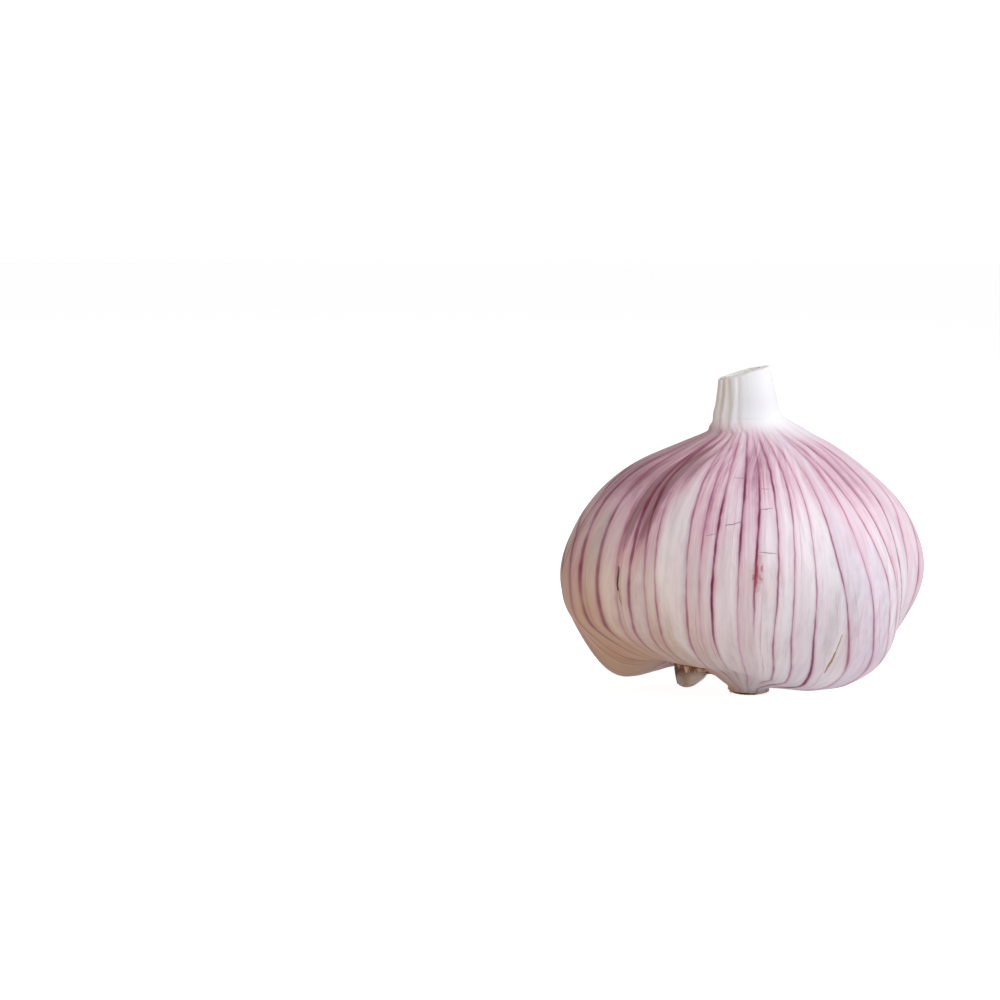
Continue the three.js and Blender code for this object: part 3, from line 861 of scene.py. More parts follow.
def skin_material():
    """Panels in slightly different whites, creams and lilacs, a blush from each vein into the panel
    beside it, mauve, tan and grey places, painted shade in the groove on the front left, a painted warm
    light low on the left, fibres, two sizes of veins, and marks. The top turns into the stem's colour,
    with painted shade in its folds and painted highlight on its ridges."""
    made, tree, shader = new_material("striped_skin")
    place, along = uv_parts(tree, "vein_map")
    azimuth, height = uv_parts(tree, "skin_map")
    width, darkness, panel_blush = (value_of(tree, name)
                                    for name in ("step_width", "darkness", "panel_blush"))
    mauve_and_shade, tan, grey, pale = (value_of(tree, name) for name in ("mauve_and_shade", "tan", "grey", "pale"))
    share = calc(tree, "FRACT", place)
    panel = calc(tree, "FLOOR", place)

    thick = value_of(tree, "thick")
    veins = use(tree, VEIN_LINES, Place=place, Along=along, Step_width=width, Darkness=darkness,
                Line=calc(tree, "MULTIPLY", thick, LINE_WIDTH), Halo=HALO_WIDTH, Wobble=0.08)
    beside = use(tree, VEIN_LINES, Place=place, Along=along, Step_width=width, Darkness=darkness, Line=0.1,
                 Halo=calc(tree, "MULTIPLY", thick, BESIDE_WIDTH), Wobble=0.08)["Halo"]
    thin_place = calc(tree, "MULTIPLY", place, THIN_VEINS)
    thin_width = calc(tree, "DIVIDE", width, THIN_VEINS)
    here = flat_place(tree, calc(tree, "MULTIPLY", place, 2.3), calc(tree, "MULTIPLY", along, 0.05))
    chance = soft_noise(tree, here, 1.0, 1.0)
    thin_dark = calc(tree, "MULTIPLY", between(tree, chance, 0.45, 0.7), 0.45)
    thin = use(tree, VEIN_LINES, Place=thin_place, Along=along, Step_width=thin_width, Darkness=thin_dark,
               Line=0.10, Halo=0.35, Wobble=0.14)
    streaks = use(tree, FIBRES, Across=azimuth, Along=height, Fineness=1.3, Length=9.0)["Streaks"]
    bands = use(tree, FIBRES, Across=azimuth, Along=height, Fineness=0.35, Length=16.0)["Streaks"]
    blots = use(tree, FIBRES, Across=azimuth, Along=height, Fineness=0.30, Length=2.2)["Streaks"]

    dice = node(tree, "ShaderNodeTexWhiteNoise", {"W": panel}, noise_dimensions="1D").outputs["Color"]
    dice = node(tree, "ShaderNodeSeparateXYZ", {"Vector": dice}).outputs
    colour = mixed(tree, pale, WHITE_SKIN, PEARL)
    warm = calc(tree, "SUBTRACT", 1.0, between(tree, azimuth, 0.0, 30.0))
    cream = calc(tree, "MULTIPLY", between(tree, dice["X"], 0.3, 1.0),
                 calc(tree, "MULTIPLY_ADD", warm, 0.6, 0.1))
    colour = mixed(tree, cream, colour, CREAM)
    lilac = calc(tree, "MULTIPLY", between(tree, dice["Y"], 0.25, 1.0),
                 calc(tree, "MULTIPLY_ADD", blots, 0.35, 0.35))
    colour = mixed(tree, lilac, colour, LILAC)
    patchy = calc(tree, "MULTIPLY_ADD", blots, 0.25, 0.6)
    colour = mixed(tree, calc(tree, "MULTIPLY", grey, patchy), colour, GREY)
    spot_at = flat_place(tree, calc(tree, "MULTIPLY", azimuth, MM_PER_DEGREE), height)
    drawn_out = node(tree, "ShaderNodeVectorMath", {0: spot_at, 1: (0.9, 0.22, 1)}, operation="MULTIPLY")
    cloud = soft_noise(tree, drawn_out.outputs[0], 1.0, 5.0, 0.6)
    dim = calc(tree, "MULTIPLY", between(tree, cloud, 0.45, 0.7), 0.3)
    colour = mixed(tree, calc(tree, "MULTIPLY_ADD", bands, 0.2, dim), colour, DUSK)

    to_next = calc(tree, "MULTIPLY_ADD", share, -0.7, 1.0)
    blush = calc(tree, "MULTIPLY", panel_blush, to_next)
    blush = calc(tree, "MULTIPLY_ADD", veins["Halo"], 0.42, blush)
    blush = calc(tree, "MULTIPLY_ADD", thin["Halo"], 0.4, blush)
    blush = calc(tree, "MULTIPLY_ADD", bands, 0.18, blush)
    blush = calc(tree, "ADD", blush, mauve_and_shade)
    blush = calc(tree, "MULTIPLY", blush, calc(tree, "MULTIPLY_ADD", streaks, -0.25, 1.08))
    blush = calc(tree, "MULTIPLY", blush, calc(tree, "MULTIPLY_ADD", blots, -0.25, 1.1))
    blush = calc(tree, "SUBTRACT", blush, calc(tree, "MULTIPLY", pale, 0.3))
    colour = mixed(tree, between(tree, blush, -0.02, 0.95), colour, BLUSH)
    colour = mixed(tree, between(tree, blush, 0.6, 1.6), colour, MAUVE)
    colour = mixed(tree, calc(tree, "MULTIPLY", tan, patchy), colour, TAN)
    # Umber where the first share is highest: painted shade in the groove on the front left, and the skin's
    # own brown on the left shoulder.
    umber_and_shade = calc(tree, "MULTIPLY", between(tree, mauve_and_shade, 0.7, 2.0), 0.9)
    colour = mixed(tree, umber_and_shade, colour, UMBER_AND_SHADE)
    colour = mixed(tree, calc(tree, "MULTIPLY", streaks, 0.18), colour, PEARL)

    collar = value_of(tree, "collar")
    below = calc(tree, "SUBTRACT", 1.0, collar)
    neck = mixed(tree, value_of(tree, "beige"), CHALK, NECK_BEIGE)
    # Painted shade in the neck's folds, and painted highlight on its ridges.
    neck = mixed(tree, calc(tree, "MULTIPLY", value_of(tree, "fold"), 0.6), neck, FOLD_SHADE)
    neck = mixed(tree, calc(tree, "MULTIPLY", value_of(tree, "ridge_highlight"), 0.85), neck, CHALK)
    neck = mixed(tree, value_of(tree, "neck_foot"), neck, NECK_FOOT)
    colour = mixed(tree, collar, colour, neck)
    beside = calc(tree, "MULTIPLY", beside, calc(tree, "MULTIPLY_ADD", umber_and_shade, -0.7, 0.75))
    colour = mixed(tree, beside, colour, BESIDE_VEIN)
    thin_line = calc(tree, "MULTIPLY", thin["Line"], below)
    colour = mixed(tree, calc(tree, "MULTIPLY", thin_line, 0.75), colour, ROSE_VEIN)
    vein_colour = mixed(tree, between(tree, darkness, 0.35, 0.8), ROSE_VEIN, DARK_VEIN)
    vein_colour = mixed(tree, between(tree, thick, 1.4, 3.0), vein_colour, SOFT_VEIN)
    # The veins turn brown in the same places, painted shade included.
    vein_colour = mixed(tree, umber_and_shade, vein_colour, BROWN_VEIN)
    colour = mixed(tree, calc(tree, "MULTIPLY", veins["Line"], 0.92), colour, vein_colour)

    for (az0, h0), (az1, h1), wide, ragged, ink, strength in MARKS:
        mark = use(tree, MARK, At=spot_at, Start=(az0 * MM_PER_DEGREE, h0, 0),
                   End=(az1 * MM_PER_DEGREE, h1, 0), Width=wide, Waver=ragged)["Mark"]
        colour = mixed(tree, calc(tree, "MULTIPLY", mark, strength), colour, ink)
    # Painted warm light, as if thrown back by things nearby, low on the left.
    warm_bounce = calc(tree, "MULTIPLY", value_of(tree, "warm_bounce"), below)
    colour = mixed(tree, warm_bounce, colour, WARM_BOUNCE_TINT, "MULTIPLY")

    tree.links.new(colour, shader.inputs["Base Color"])
    rough = calc(tree, "MULTIPLY_ADD", streaks, 0.12, 0.40)
    tree.links.new(calc(tree, "MULTIPLY_ADD", veins["Line"], 0.1, rough), shader.inputs["Roughness"])
    shader.inputs["Subsurface Weight"].default_value = 0.08
    shader.inputs["Subsurface Radius"].default_value = (1.0, 0.6, 0.6)
    shader.inputs["Subsurface Scale"].default_value = 0.8 * MM
    shader.inputs["Specular IOR Level"].default_value = 0.35
    lines = calc(tree, "MULTIPLY_ADD", thin_line, 0.5, veins["Line"])
    pressed = calc(tree, "MULTIPLY", lines, -1.0)
    surface = calc(tree, "MULTIPLY", calc(tree, "MULTIPLY_ADD", streaks, 0.5, pressed), below)
    tree.links.new(bumped(tree, surface, 0.04), shader.inputs["Normal"])
    return made


SKIN = skin_material()

# %% [markdown]
# ## The wrapped bulb
# The skin is one closed surface. Its rows start at the middle of the recess for the root plate, come out
# round the foot, run up the bulb at even steps, and end inside the neck. Every grid point carries its
# vein place and its broad colours, so the material can use them.

# %% The wrapped bulb
SKIN_COLUMNS, SKIN_ROWS = 540, 156
SKIN_EDGE = 0.35  # thickness at the foot and the collar, mm
RECESS_HEIGHT, SOCKET_FLOOR = 3.3, 41.7
SKIN_LOWEST, CLOVE_LOWEST = 0.03, 0.05  # mm above the ground, so that only the root plate touches it


def column_azimuths(columns):
    """Azimuths in degrees of a ring's columns, starting at the very back."""
    return (-180 + 360 * np.arange(columns) / columns)[None, :]


def round_surface(azimuth, profile):
    """Points of a surface turned about the bulb's own, shifted middle, from a profile of radius and
    height."""
    radius, height = profile[:, 0, None], profile[:, 1, None]
    turned = np.radians(azimuth)
    x = radius * np.sin(turned) + axis_shift(height)
    y = -radius * np.cos(turned)
    return np.stack([x, y, np.broadcast_to(height, x.shape)], axis=-1)


def skin_surface(azimuth, place):
    """The plain bulb at any azimuths and places along the outline, with its radius and height there. The
    skin's relief is measured from it."""
    line = curve_through(OUTLINE, place)
    radius, height = line[..., 0], line[..., 1]
    return over_cloves(azimuth, radius, height), radius, height


def make_skin():
    """The skin's mesh: recess, skin and socket as one grid closed with two poles."""
    azimuth = column_azimuths(SKIN_COLUMNS)
    place, length = even_places(OUTLINE, SKIN_ROWS)
    azimuths = np.repeat(azimuth, SKIN_ROWS, axis=0)
    lengths = np.repeat(length[:, None], SKIN_COLUMNS, axis=1)
    plain, radius, height = skin_surface(azimuths, place[:, None] + 0 * azimuths)
    fields = vein_fields(azimuths, radius, height, lengths)
    out = outward(plain)
    relief = skin_relief(azimuths, radius, height, lengths, fields) - slit_depth(azimuths, height, radius)
    ragged = 0.04 * ripple(azimuths, lengths, 41, 10, (60, 140), 0.8)
    reach = heel_reach(plain) + ragged
    lip = 0.35 * np.exp(-(((reach - 1.10) / 0.07) ** 2))
    sink = 1.5 * (1 - step(reach, 0.80, 1.02))
    relief += lip - sink
    points = plain + out * relief[..., None]
    points[..., 2] = np.maximum(points[..., 2], SKIN_LOWEST)

    recess = np.array([[0.3, RECESS_HEIGHT], [FOOT_RADIUS - SKIN_EDGE, RECESS_HEIGHT],
                       [FOOT_RADIUS - SKIN_EDGE, 1.2], [FOOT_RADIUS - SKIN_EDGE + 0.05, 0.45]])
    inside = COLLAR_RADIUS - SKIN_EDGE - 0.3
    socket = np.array([[inside, SKIN_TOP - 0.1], [inside, SOCKET_FLOOR], [0.3, SOCKET_FLOOR]])
    rows = [round_surface(azimuth, recess), points, round_surface(azimuth, socket)]
    grid = np.concatenate(rows)
    before, after = len(recess), len(socket)

    def padded(field):
        """The field with its first and last rows repeated for the recess and the socket, and for both
        poles."""
        rows = np.concatenate([np.repeat(field[:1], before, 0), field, np.repeat(field[-1:], after, 0)])
        return np.concatenate([rows.ravel(), [rows[0, 0], rows[-1, 0]]])

    vein_place, width, darkness, panel_blush = fields
    mauve_and_shade, tan, grey, pale = broad_colours(azimuths, height)
    side = bell(turn(azimuths, 75), 70)
    tongues = 0.55 * ripple(azimuths, height, 34, 12, (10, 36), 0.1) * (1 - side)
    collar = step(height + tongues, 45.6 - 2.6 * side, 47.6 - 1.0 * side)
    painted_fold_shade, ridge_highlight = fold_shares(azimuths, height)
    shares = {"step_width": width * np.radians(1) * radius, "darkness": darkness, "panel_blush": panel_blush,
              "mauve_and_shade": mauve_and_shade, "tan": tan, "grey": grey, "pale": pale, "collar": collar,
              "beige": neck_beige(azimuths), "thick": vein_thickness(azimuths, height),
              "warm_bounce": warm_bounce_reach(azimuths, height), "neck_foot": neck_foot(azimuths, height),
              "fold": painted_fold_shade, "ridge_highlight": ridge_highlight}
    values = {name: padded(field) for name, field in shares.items()}
    made = closed_surface("bulb_skin", grid, SKIN, values)
    add_map(made, "vein_map", padded(vein_place), padded(lengths), VEIN_STEPS)
    add_map(made, "skin_map", padded(azimuths), padded(height), 360)
    settle(made, "wrapped_bulb")
    return made


bulb_skin = make_skin()

# %% [markdown]
# ## The stem's finish
# The stem is a stack of leaf bases, one inside the other, gone dry. The outer one is chalky white and
# more beige on its left, with long fine fibres, painted shade in its folds and along its fibres, and
# painted highlight on its ridges. The cut ends are nearly white, with greyer pores.

# %% The stem's materials
STRAW = screen(244, 244, 242)
STRAW_SHADE = screen(220, 220, 212)


def stem_material():
    """Chalky white to beige, with fibres, painted shade in its folds and along the fibres on its beige
    side, and painted highlight on its ridges.
    """
    made, tree, shader = new_material("dry_stem")
    azimuth, height = uv_parts(tree, "skin_map")
    beige, fold, ridge_highlight, cut = (value_of(tree, name) for name in ("beige", "fold", "ridge_highlight", "cut"))
    streaks = use(tree, FIBRES, Across=azimuth, Along=height, Fineness=0.22, Length=6.0)["Streaks"]
    hairs = use(tree, FIBRES, Across=azimuth, Along=height, Fineness=0.9, Length=9.0)["Streaks"]
    colour = mixed(tree, beige, CHALK, NECK_BEIGE)
    above = between(tree, height, 47.5, 49.5)
    # Painted shade along the fibres on the beige side of the neck.
    shaded = calc(tree, "MULTIPLY", calc(tree, "MULTIPLY", streaks, above),
                  calc(tree, "MULTIPLY", beige, 0.3))
    colour = mixed(tree, shaded, colour, FOLD_SHADE)
    # Painted shade in the folds, and painted highlight on the ridges.
    colour = mixed(tree, calc(tree, "MULTIPLY", fold, 0.6), colour, FOLD_SHADE)
    colour = mixed(tree, calc(tree, "MULTIPLY", ridge_highlight, 0.85), colour, CHALK)
    fine_hairs = calc(tree, "MULTIPLY", calc(tree, "MULTIPLY", hairs, above), 0.08)
    colour = mixed(tree, fine_hairs, colour, NECK_BEIGE)
    colour = mixed(tree, value_of(tree, "neck_foot"), colour, NECK_FOOT)
    colour = mixed(tree, cut, colour, STRAW)
    tree.links.new(colour, shader.inputs["Base Color"])
    tree.links.new(calc(tree, "MULTIPLY_ADD", hairs, 0.15, 0.5), shader.inputs["Roughness"])
    shader.inputs["Subsurface Weight"].default_value = 0.12
    shader.inputs["Subsurface Radius"].default_value = (1.0, 0.8, 0.7)
    shader.inputs["Subsurface Scale"].default_value = 1.0 * MM
    shader.inputs["Specular IOR Level"].default_value = 0.35
    surface = calc(tree, "MULTIPLY", calc(tree, "MULTIPLY_ADD", hairs, 0.3, streaks),
                   calc(tree, "MULTIPLY", beige, above))
    tree.links.new(bumped(tree, surface, 0.03), shader.inputs["Normal"])
    return made


def pith_material():
    """The cut ends inside the stem: nearly white, with greyer clouds and pores."""
    made, tree, shader = new_material("stem_pith")
    place = node(tree, "ShaderNodeTexCoord").outputs["Object"]
    pores = node(tree, "ShaderNodeTexVoronoi", {"Vector": place, "Scale": 2600.0}).outputs["Distance"]
    cloud = soft_noise(tree, place, 700.0, 3.0)
    colour = mixed(tree, between(tree, cloud, 0.35, 0.7), STRAW, STRAW_SHADE)
    colour = mixed(tree, calc(tree, "SUBTRACT", 1.0, between(tree, pores, 0.1, 0.4)), colour, STRAW_SHADE)
    tree.links.new(colour, shader.inputs["Base Color"])
    tree.links.new(calc(tree, "MULTIPLY_ADD", cloud, 0.2, 0.6), shader.inputs["Roughness"])
    tree.links.new(bumped(tree, pores, 0.08), shader.inputs["Normal"])
    return made


STEM = stem_material()
PITH = pith_material()

# %% [markdown]
# ## The stem
# The outer leaf base clasps the neck and rises to a sloping cut. On a real bulb it is the top of the same
# leaf that wraps the cloves, so its folds run down into the skin, and its lower edge starts just under
# the skin and comes out flush. It is a thin wall, so its rim at the cut is a real edge. Three more leaf
# bases stand inside it with air between them, round the fibrous core of the flower stalk.

# %% The stem's shape
STEM_FOOT, STEM_LENGTH = 42, 13.5
STEM_LEAN, CUT_SLOPE, CUT_DIP = -0.6, 15, 2.5  # mm, and degrees up to the right and down to the front
NECK = np.array([[13.3, 43.2], [8.5, 45.3], [6.8, 46.6], [6.335, 47.3], [6.0, 48.0], [5.42, 49.8],
                 [5.05, 51.8], [4.65, 53.8], [4.3, 55.5]])
SHEATH_START = 0.36  # as a share of the way along the neck's curve


def stem_points(azimuth, radius, height):
    """Points round the stem at a radius and height, moved over by its lean and tilted to its sloping cut.
    Both grow with the fourth power of the height above the stem's foot, so they show near the cut
    only."""
    points = over_cloves(azimuth, radius, height)
    share = np.maximum((height - STEM_FOOT) / STEM_LENGTH, 0) ** 4
    turned = np.radians(azimuth)
    slope = (math.tan(math.radians(CUT_SLOPE)) * np.sin(turned)
             - math.tan(math.radians(CUT_DIP)) * np.cos(turned))
    points[..., 0] += STEM_LEAN * share
    points[..., 2] += radius * slope * share
    return points


def ragged_edge(azimuth):
    """Where the outer leaf base starts, as a place along the neck's curve: nearly even, with small pointed
    tongues of uneven lengths round the front and the back."""
    wave = np.abs(((azimuth + 9 * np.sin(np.radians(3 * azimuth))) / 13) % 1 - 0.5) * 2
    drift = ripple(azimuth, 0 * azimuth, 51, 8, (2, 9), 0)
    jag = ripple(azimuth, 0 * azimuth, 52, 10, (30, 70), 0)
    tongues = 0.5 + 0.5 * np.cos(np.radians(2 * azimuth))
    uneven = np.clip(1 + 0.8 * drift, 0.1, 2)
    return SHEATH_START - tongues * 0.02 * wave**1.5 * uneven + 0.006 * drift + 0.002 * jag


def make_neck():
    """The outer leaf base: a grid up the outside, over the rim, and down the inside, closed on itself.
    Its lower edge is thin and lies just under the skin, and it comes out where the skin ends."""
    columns, rows = 480, 90
    azimuth = column_azimuths(columns)
    start = ragged_edge(azimuth)
    way = np.linspace(0, 1, rows)[:, None]
    place = start + (1 - start) * way
    line = curve_through(NECK, place)
    azimuths = np.repeat(azimuth, rows, axis=0)
    radius, height = line[..., 0], line[..., 1]
    out = outward(stem_points(azimuths, radius, height))
    fold = fold_height(azimuths, height)
    rough_side = bell(turn(azimuths, -45), 40) + bell(turn(azimuths, 190), 70)
    fine = 0.02 * ripple(azimuths, height, 53, 14, (24, 70), 0.25) * step(height, 48, 50) * rough_side
    lift = -0.03 + 0.06 * step(height, 47.1, 48.1) + fold + fine + side_flare(azimuths, height)
    outside = stem_points(azimuths, radius, height) + out * lift[..., None]
    thick = 0.05 + 0.10 * step(way, 0.05, 0.3) + 0.25 * step(way, 0.5, 0.9)
    inside = outside - out * thick[..., None]
    rim = outside[-1:] * 0.5 + inside[-1:] * 0.5 + [0, 0, 0.05]
    grid = np.concatenate([outside, rim, inside[::-1]])

    def both(field, at_rim):
        return np.concatenate([field, np.full((1, columns), at_rim), field[::-1]]).ravel()

    beige = neck_beige(azimuths)
    painted_fold_shade, ridge_highlight = fold_shares(azimuths, height)
    values = {"beige": both(beige, 0.2), "fold": both(painted_fold_shade, 0), "ridge_highlight": both(ridge_highlight, 0),
              "cut": both(0.0 * azimuths, 0.6), "neck_foot": both(neck_foot(azimuths, height), 0)}
    made = shell_surface("neck_sheath", grid, STEM, values)
    add_map(made, "skin_map", both(azimuths, 0), both(height, STEM_FOOT + STEM_LENGTH), 360)
    settle(made, "stem_stub")
    return made


neck_sheath = make_neck()

# %% The leaf bases and the core inside the cut
# Each inner leaf base: outer radius, thickness, and how far its edge stands above the cut, in mm.
INNER_BASES = [(3.88, 0.56, 0.05), (3.27, 0.48, 0.10), (2.74, 0.50, 0.02)]


def make_inner_bases():
    """Three thin rings, each a wall up the outside and down the inside, wavy in plan, as one mesh."""
    columns, rows = 160, 14
    azimuth = column_azimuths(columns)
    grids = []
    for number, (radius, thick, above) in enumerate(INNER_BASES):
        height = np.linspace(50, STEM_FOOT + STEM_LENGTH + above, rows)[:, None] + 0 * azimuth
        azimuths = np.repeat(azimuth, rows, axis=0)
        wave = 0.04 * ripple(azimuths, height, 61, 8, (2, 7), 0.05)
        wave += 0.02 * ripple(azimuths, height, 65 + number, 8, (15, 40), 0.1)
        height = height + 0.03 * ripple(azimuths, 0 * height, 69 + number, 6, (2, 12), 0)
        outside = stem_points(azimuths, radius + wave, height)
        inside = stem_points(azimuths, radius + wave - thick, height)
        rim = (outside[-1:] + inside[-1:]) / 2 + [0, 0, 0.07]
        grids.append(np.concatenate([outside, rim, inside[::-1]]))
    points = np.concatenate([grid.reshape(-1, 3) for grid in grids])
    each = len(points) // len(grids)
    faces = [ring_faces(2 * rows + 1, columns, k * each, closed=True) for k in range(len(grids))]
    made = new_piece("inner_leaf_bases", points, faces, PITH)
    settle(made, "stem_stub")
    return made


def make_core():
    """The flower stalk: a rod whose cut end is dished and fibrous."""
    columns = 96
    azimuth = column_azimuths(columns)
    top = STEM_FOOT + STEM_LENGTH - 0.02
    profile = np.array([[1.9, 50], [2.1, 52], [2.15, 53.5], [2.14, top - 0.2], [2.05, top],
                        [1.7, top + 0.06], [1.25, top - 0.02], [0.9, top - 0.12], [0.5, top - 0.18],
                        [0.15, top - 0.2]])
    radius = profile[:, 0, None] * (1 + 0.03 * ripple(azimuth, profile[:, 1, None], 75, 8, (3, 14), 0.1))
    height = profile[:, 1, None] + 0.05 * ripple(azimuth, profile[:, 0, None] * 9, 76, 10, (3, 20), 0.6)
    grid = stem_points(np.repeat(azimuth, len(profile), axis=0), radius, height)
    made = closed_surface("stalk_core", grid, PITH)
    settle(made, "stem_stub")
    return made


inner_leaf_bases = make_inner_bases()
stalk_core = make_core()

# %% [markdown]
# ## The root plate
# The root plate is a cork-like disc, the bulb's own short stem, that its roots grew from. They are
# trimmed to a brush of stubs round its edge. The disc is turned from a profile with shallow rings. The
# stubs are one mesh: the same small tapered rod, worked out for all of them at once with a place, length
# and slant of its own for each.

# %% The root plate's material
CORK = screen(160, 122, 88)
CORK_DARK = screen(96, 66, 44)
CORK_PALE = screen(214, 196, 164)


def cork_material():
    """Brown cork with dark pits and a paler side where it was scraped."""
    made, tree, shader = new_material("root_cork")
    place = node(tree, "ShaderNodeTexCoord").outputs["Object"]
    pits = node(tree, "ShaderNodeTexVoronoi", {"Vector": place, "Scale": 1500.0}).outputs["Distance"]
    cloud = soft_noise(tree, place, 420.0, 4.0)
    colour = mixed(tree, between(tree, cloud, 0.35, 0.65), CORK_DARK, CORK)
    colour = mixed(tree, calc(tree, "SUBTRACT", 1.0, between(tree, pits, 0.05, 0.35)), colour, CORK_DARK)
    colour = mixed(tree, value_of(tree, "scraped"), colour, CORK_PALE)
    tree.links.new(colour, shader.inputs["Base Color"])
    tree.links.new(calc(tree, "MULTIPLY_ADD", cloud, 0.15, 0.78), shader.inputs["Roughness"])
    tree.links.new(bumped(tree, calc(tree, "ADD", pits, cloud), 0.12), shader.inputs["Normal"])
    return made


ROOT = cork_material()

# %% The root plate's meshes
PLATE_RADIUS, PLATE_HEIGHT = 2.95, 3.0  # mm
STUB_COUNT, STUB_SEED = 84, 91


def make_plate():
    """The disc, flat where the bulb stands on it, with rings pressed up into its underside round the
    middle."""
    azimuth = column_azimuths(144)
    across = np.linspace(0.1, 2.72, 30)
    rings = 0.07 * (1 - np.cos(across * 9)) * (1 - step(across, 2.0, 2.5))
    side = np.array([[2.86, 0.06], [2.98, 0.25], [3.05, 0.6], [3.0, 1.2], [PLATE_RADIUS, 2.2],
                     [PLATE_RADIUS, 2.9], [2.6, PLATE_HEIGHT]])
    profile = np.vstack([np.column_stack([across, rings]), side])
    radius, height = profile[:, 0, None], profile[:, 1, None]
    azimuths = np.repeat(azimuth, len(profile), axis=0)
    rough = 0.05 * ripple(azimuths, height * 4, 81, 12, (8, 40), 0.5) * step(radius, 1, 2.9)
    radius = radius + rough * step(height, 0.03, 0.3)
    height = height + 0.03 * np.abs(ripple(azimuths, radius * 3, 82, 12, (5, 30), 1.5)) * (height < 0.3)
    turned = np.radians(azimuths)
    grid = np.stack([radius * np.sin(turned), -radius * np.cos(turned), height + 0 * radius], axis=-1)
    scraped = step(bell(turn(azimuths, 55), 38) + 0.2 * rough / 0.05, 0.35, 0.8)
    values = {"scraped": np.concatenate([scraped.ravel(), [0, 0]])}
    made = closed_surface("root_disc", grid, ROOT, values)
    settle(made, "root_plate")
    return made


def make_root_stubs():
    """Trimmed roots: rods of 6 sides that taper, slant outwards and stay above the ground."""
    count = STUB_COUNT
    rng = np.random.default_rng(STUB_SEED)
    rows, columns = 5, 6
    azimuth = np.radians(360 * (np.arange(count) + rng.uniform(-0.4, 0.4, count)) / count)
    start = rng.uniform(2.35, 2.9, count)
    length = rng.uniform(0.35, 0.85, count)
    slant = rng.uniform(0.3, 1.1, count)
    thick = rng.uniform(0.10, 0.19, count)
    base_height = rng.uniform(0.45, 0.9, count)
    way = np.linspace(0, 1, rows)[None, :, None]
    ring = np.radians(360 * np.arange(columns) / columns)[None, None, :]
    size = thick[:, None, None] * (1 - 0.25 * way)
    along = length[:, None, None] * way
    far = start[:, None, None] + along * np.sin(slant)[:, None, None] + size * np.cos(ring)
    low = base_height[:, None, None] - along * np.cos(slant)[:, None, None] + 0 * ring
    sideways = size * np.sin(ring) + 0.1 * along * rng.normal(0, 1, count)[:, None, None]
    out_x, out_y = np.sin(azimuth)[:, None, None], -np.cos(azimuth)[:, None, None]
    x = far * out_x - sideways * out_y
    y = far * out_y + sideways * out_x
    points = np.stack([x, y, np.maximum(low, SKIN_LOWEST)], axis=-1)
    one = rows * columns
    ends = points[:, [0, -1]].mean(axis=2).reshape(-1, 3)
    faces = []
    for k in range(count):
        first_ring, last_ring = k * one + np.arange(columns), (k + 1) * one - columns + np.arange(columns)
        faces += [ring_faces(rows, columns, k * one)[:, ::-1],
                  pole_faces(first_ring, count * one + 2 * k, True),
                  pole_faces(last_ring, count * one + 2 * k + 1, False)]
    everything = np.concatenate([points.reshape(-1, 3), ends])
    scraped = np.repeat(0.25 * rng.uniform(0, 1, count), one)
    values = {"scraped": np.concatenate([scraped, np.zeros(2 * count)])}
    made = new_piece("root_stubs", everything, faces, ROOT, values)
    settle(made, "root_plate")
    return made


root_disc = make_plate()
root_stubs = make_root_stubs()

# %% [markdown]
# ## The bare clove
# Low on the left the outer skin has torn away, and the heel of one clove shows in its own tight brown
# skin. The heel is a tilted egg, worked out from two angles, with wrinkles that run to the scar where it
# sat on the root plate. A ragged, curled fringe of the torn skin lies round it. A thin strip of torn skin
# hangs from the rim of the sound skin before it.

# %% The clove's material
CLOVE_BROWN = screen(186, 158, 138)
CLOVE_DARK = screen(134, 92, 72)
CLOVE_PALE = screen(236, 220, 204)
CLOVE_RED = screen(106, 70, 54)
FRINGE_BROWN = screen(118, 76, 52)
FRINGE_PALE = screen(222, 180, 148)


def clove_material():
    """Tight brown clove skin in pale and dark clouds, with dark streaks to the heel, a reddish side, painted
    shade in reddish brown towards its top, under the torn strip, and a dark scar."""
    made, tree, shader = new_material("clove_skin")
    around, up = uv_parts(tree, "clove_map")
    streaks = use(tree, FIBRES, Across=around, Along=up, Fineness=0.16, Length=5.0)["Streaks"]
    place = node(tree, "ShaderNodeTexCoord").outputs["Object"]
    cloud = soft_noise(tree, place, 300.0, 4.0)
    colour = mixed(tree, between(tree, cloud, 0.35, 0.65), CLOVE_BROWN, CLOVE_PALE)
    colour = mixed(tree, calc(tree, "MULTIPLY", streaks, 0.3), colour, CLOVE_DARK)
    colour = mixed(tree, value_of(tree, "reddish_and_shade"), colour, CLOVE_RED)
    colour = mixed(tree, value_of(tree, "scar"), colour, CLOVE_DARK)
    tree.links.new(colour, shader.inputs["Base Color"])
    tree.links.new(calc(tree, "MULTIPLY_ADD", streaks, 0.15, 0.42), shader.inputs["Roughness"])
    tree.links.new(bumped(tree, calc(tree, "ADD", streaks, cloud), 0.08), shader.inputs["Normal"])
    return made


def fringe_material():
    """The torn edge: brown with darker clouds, and paler where the skin is still sound."""
    made, tree, shader = new_material("torn_edge")
    place = node(tree, "ShaderNodeTexCoord").outputs["Object"]
    cloud = soft_noise(tree, place, 900.0, 4.0)
    colour = mixed(tree, value_of(tree, "sound"), FRINGE_BROWN, FRINGE_PALE)
    colour = mixed(tree, calc(tree, "MULTIPLY", between(tree, cloud, 0.45, 0.7), 0.6), colour, CLOVE_DARK)
    tree.links.new(colour, shader.inputs["Base Color"])
    tree.links.new(calc(tree, "MULTIPLY_ADD", cloud, 0.2, 0.5), shader.inputs["Roughness"])
    tree.links.new(bumped(tree, cloud, 0.08), shader.inputs["Normal"])
    return made


CLOVE = clove_material()
FRINGE = fringe_material()

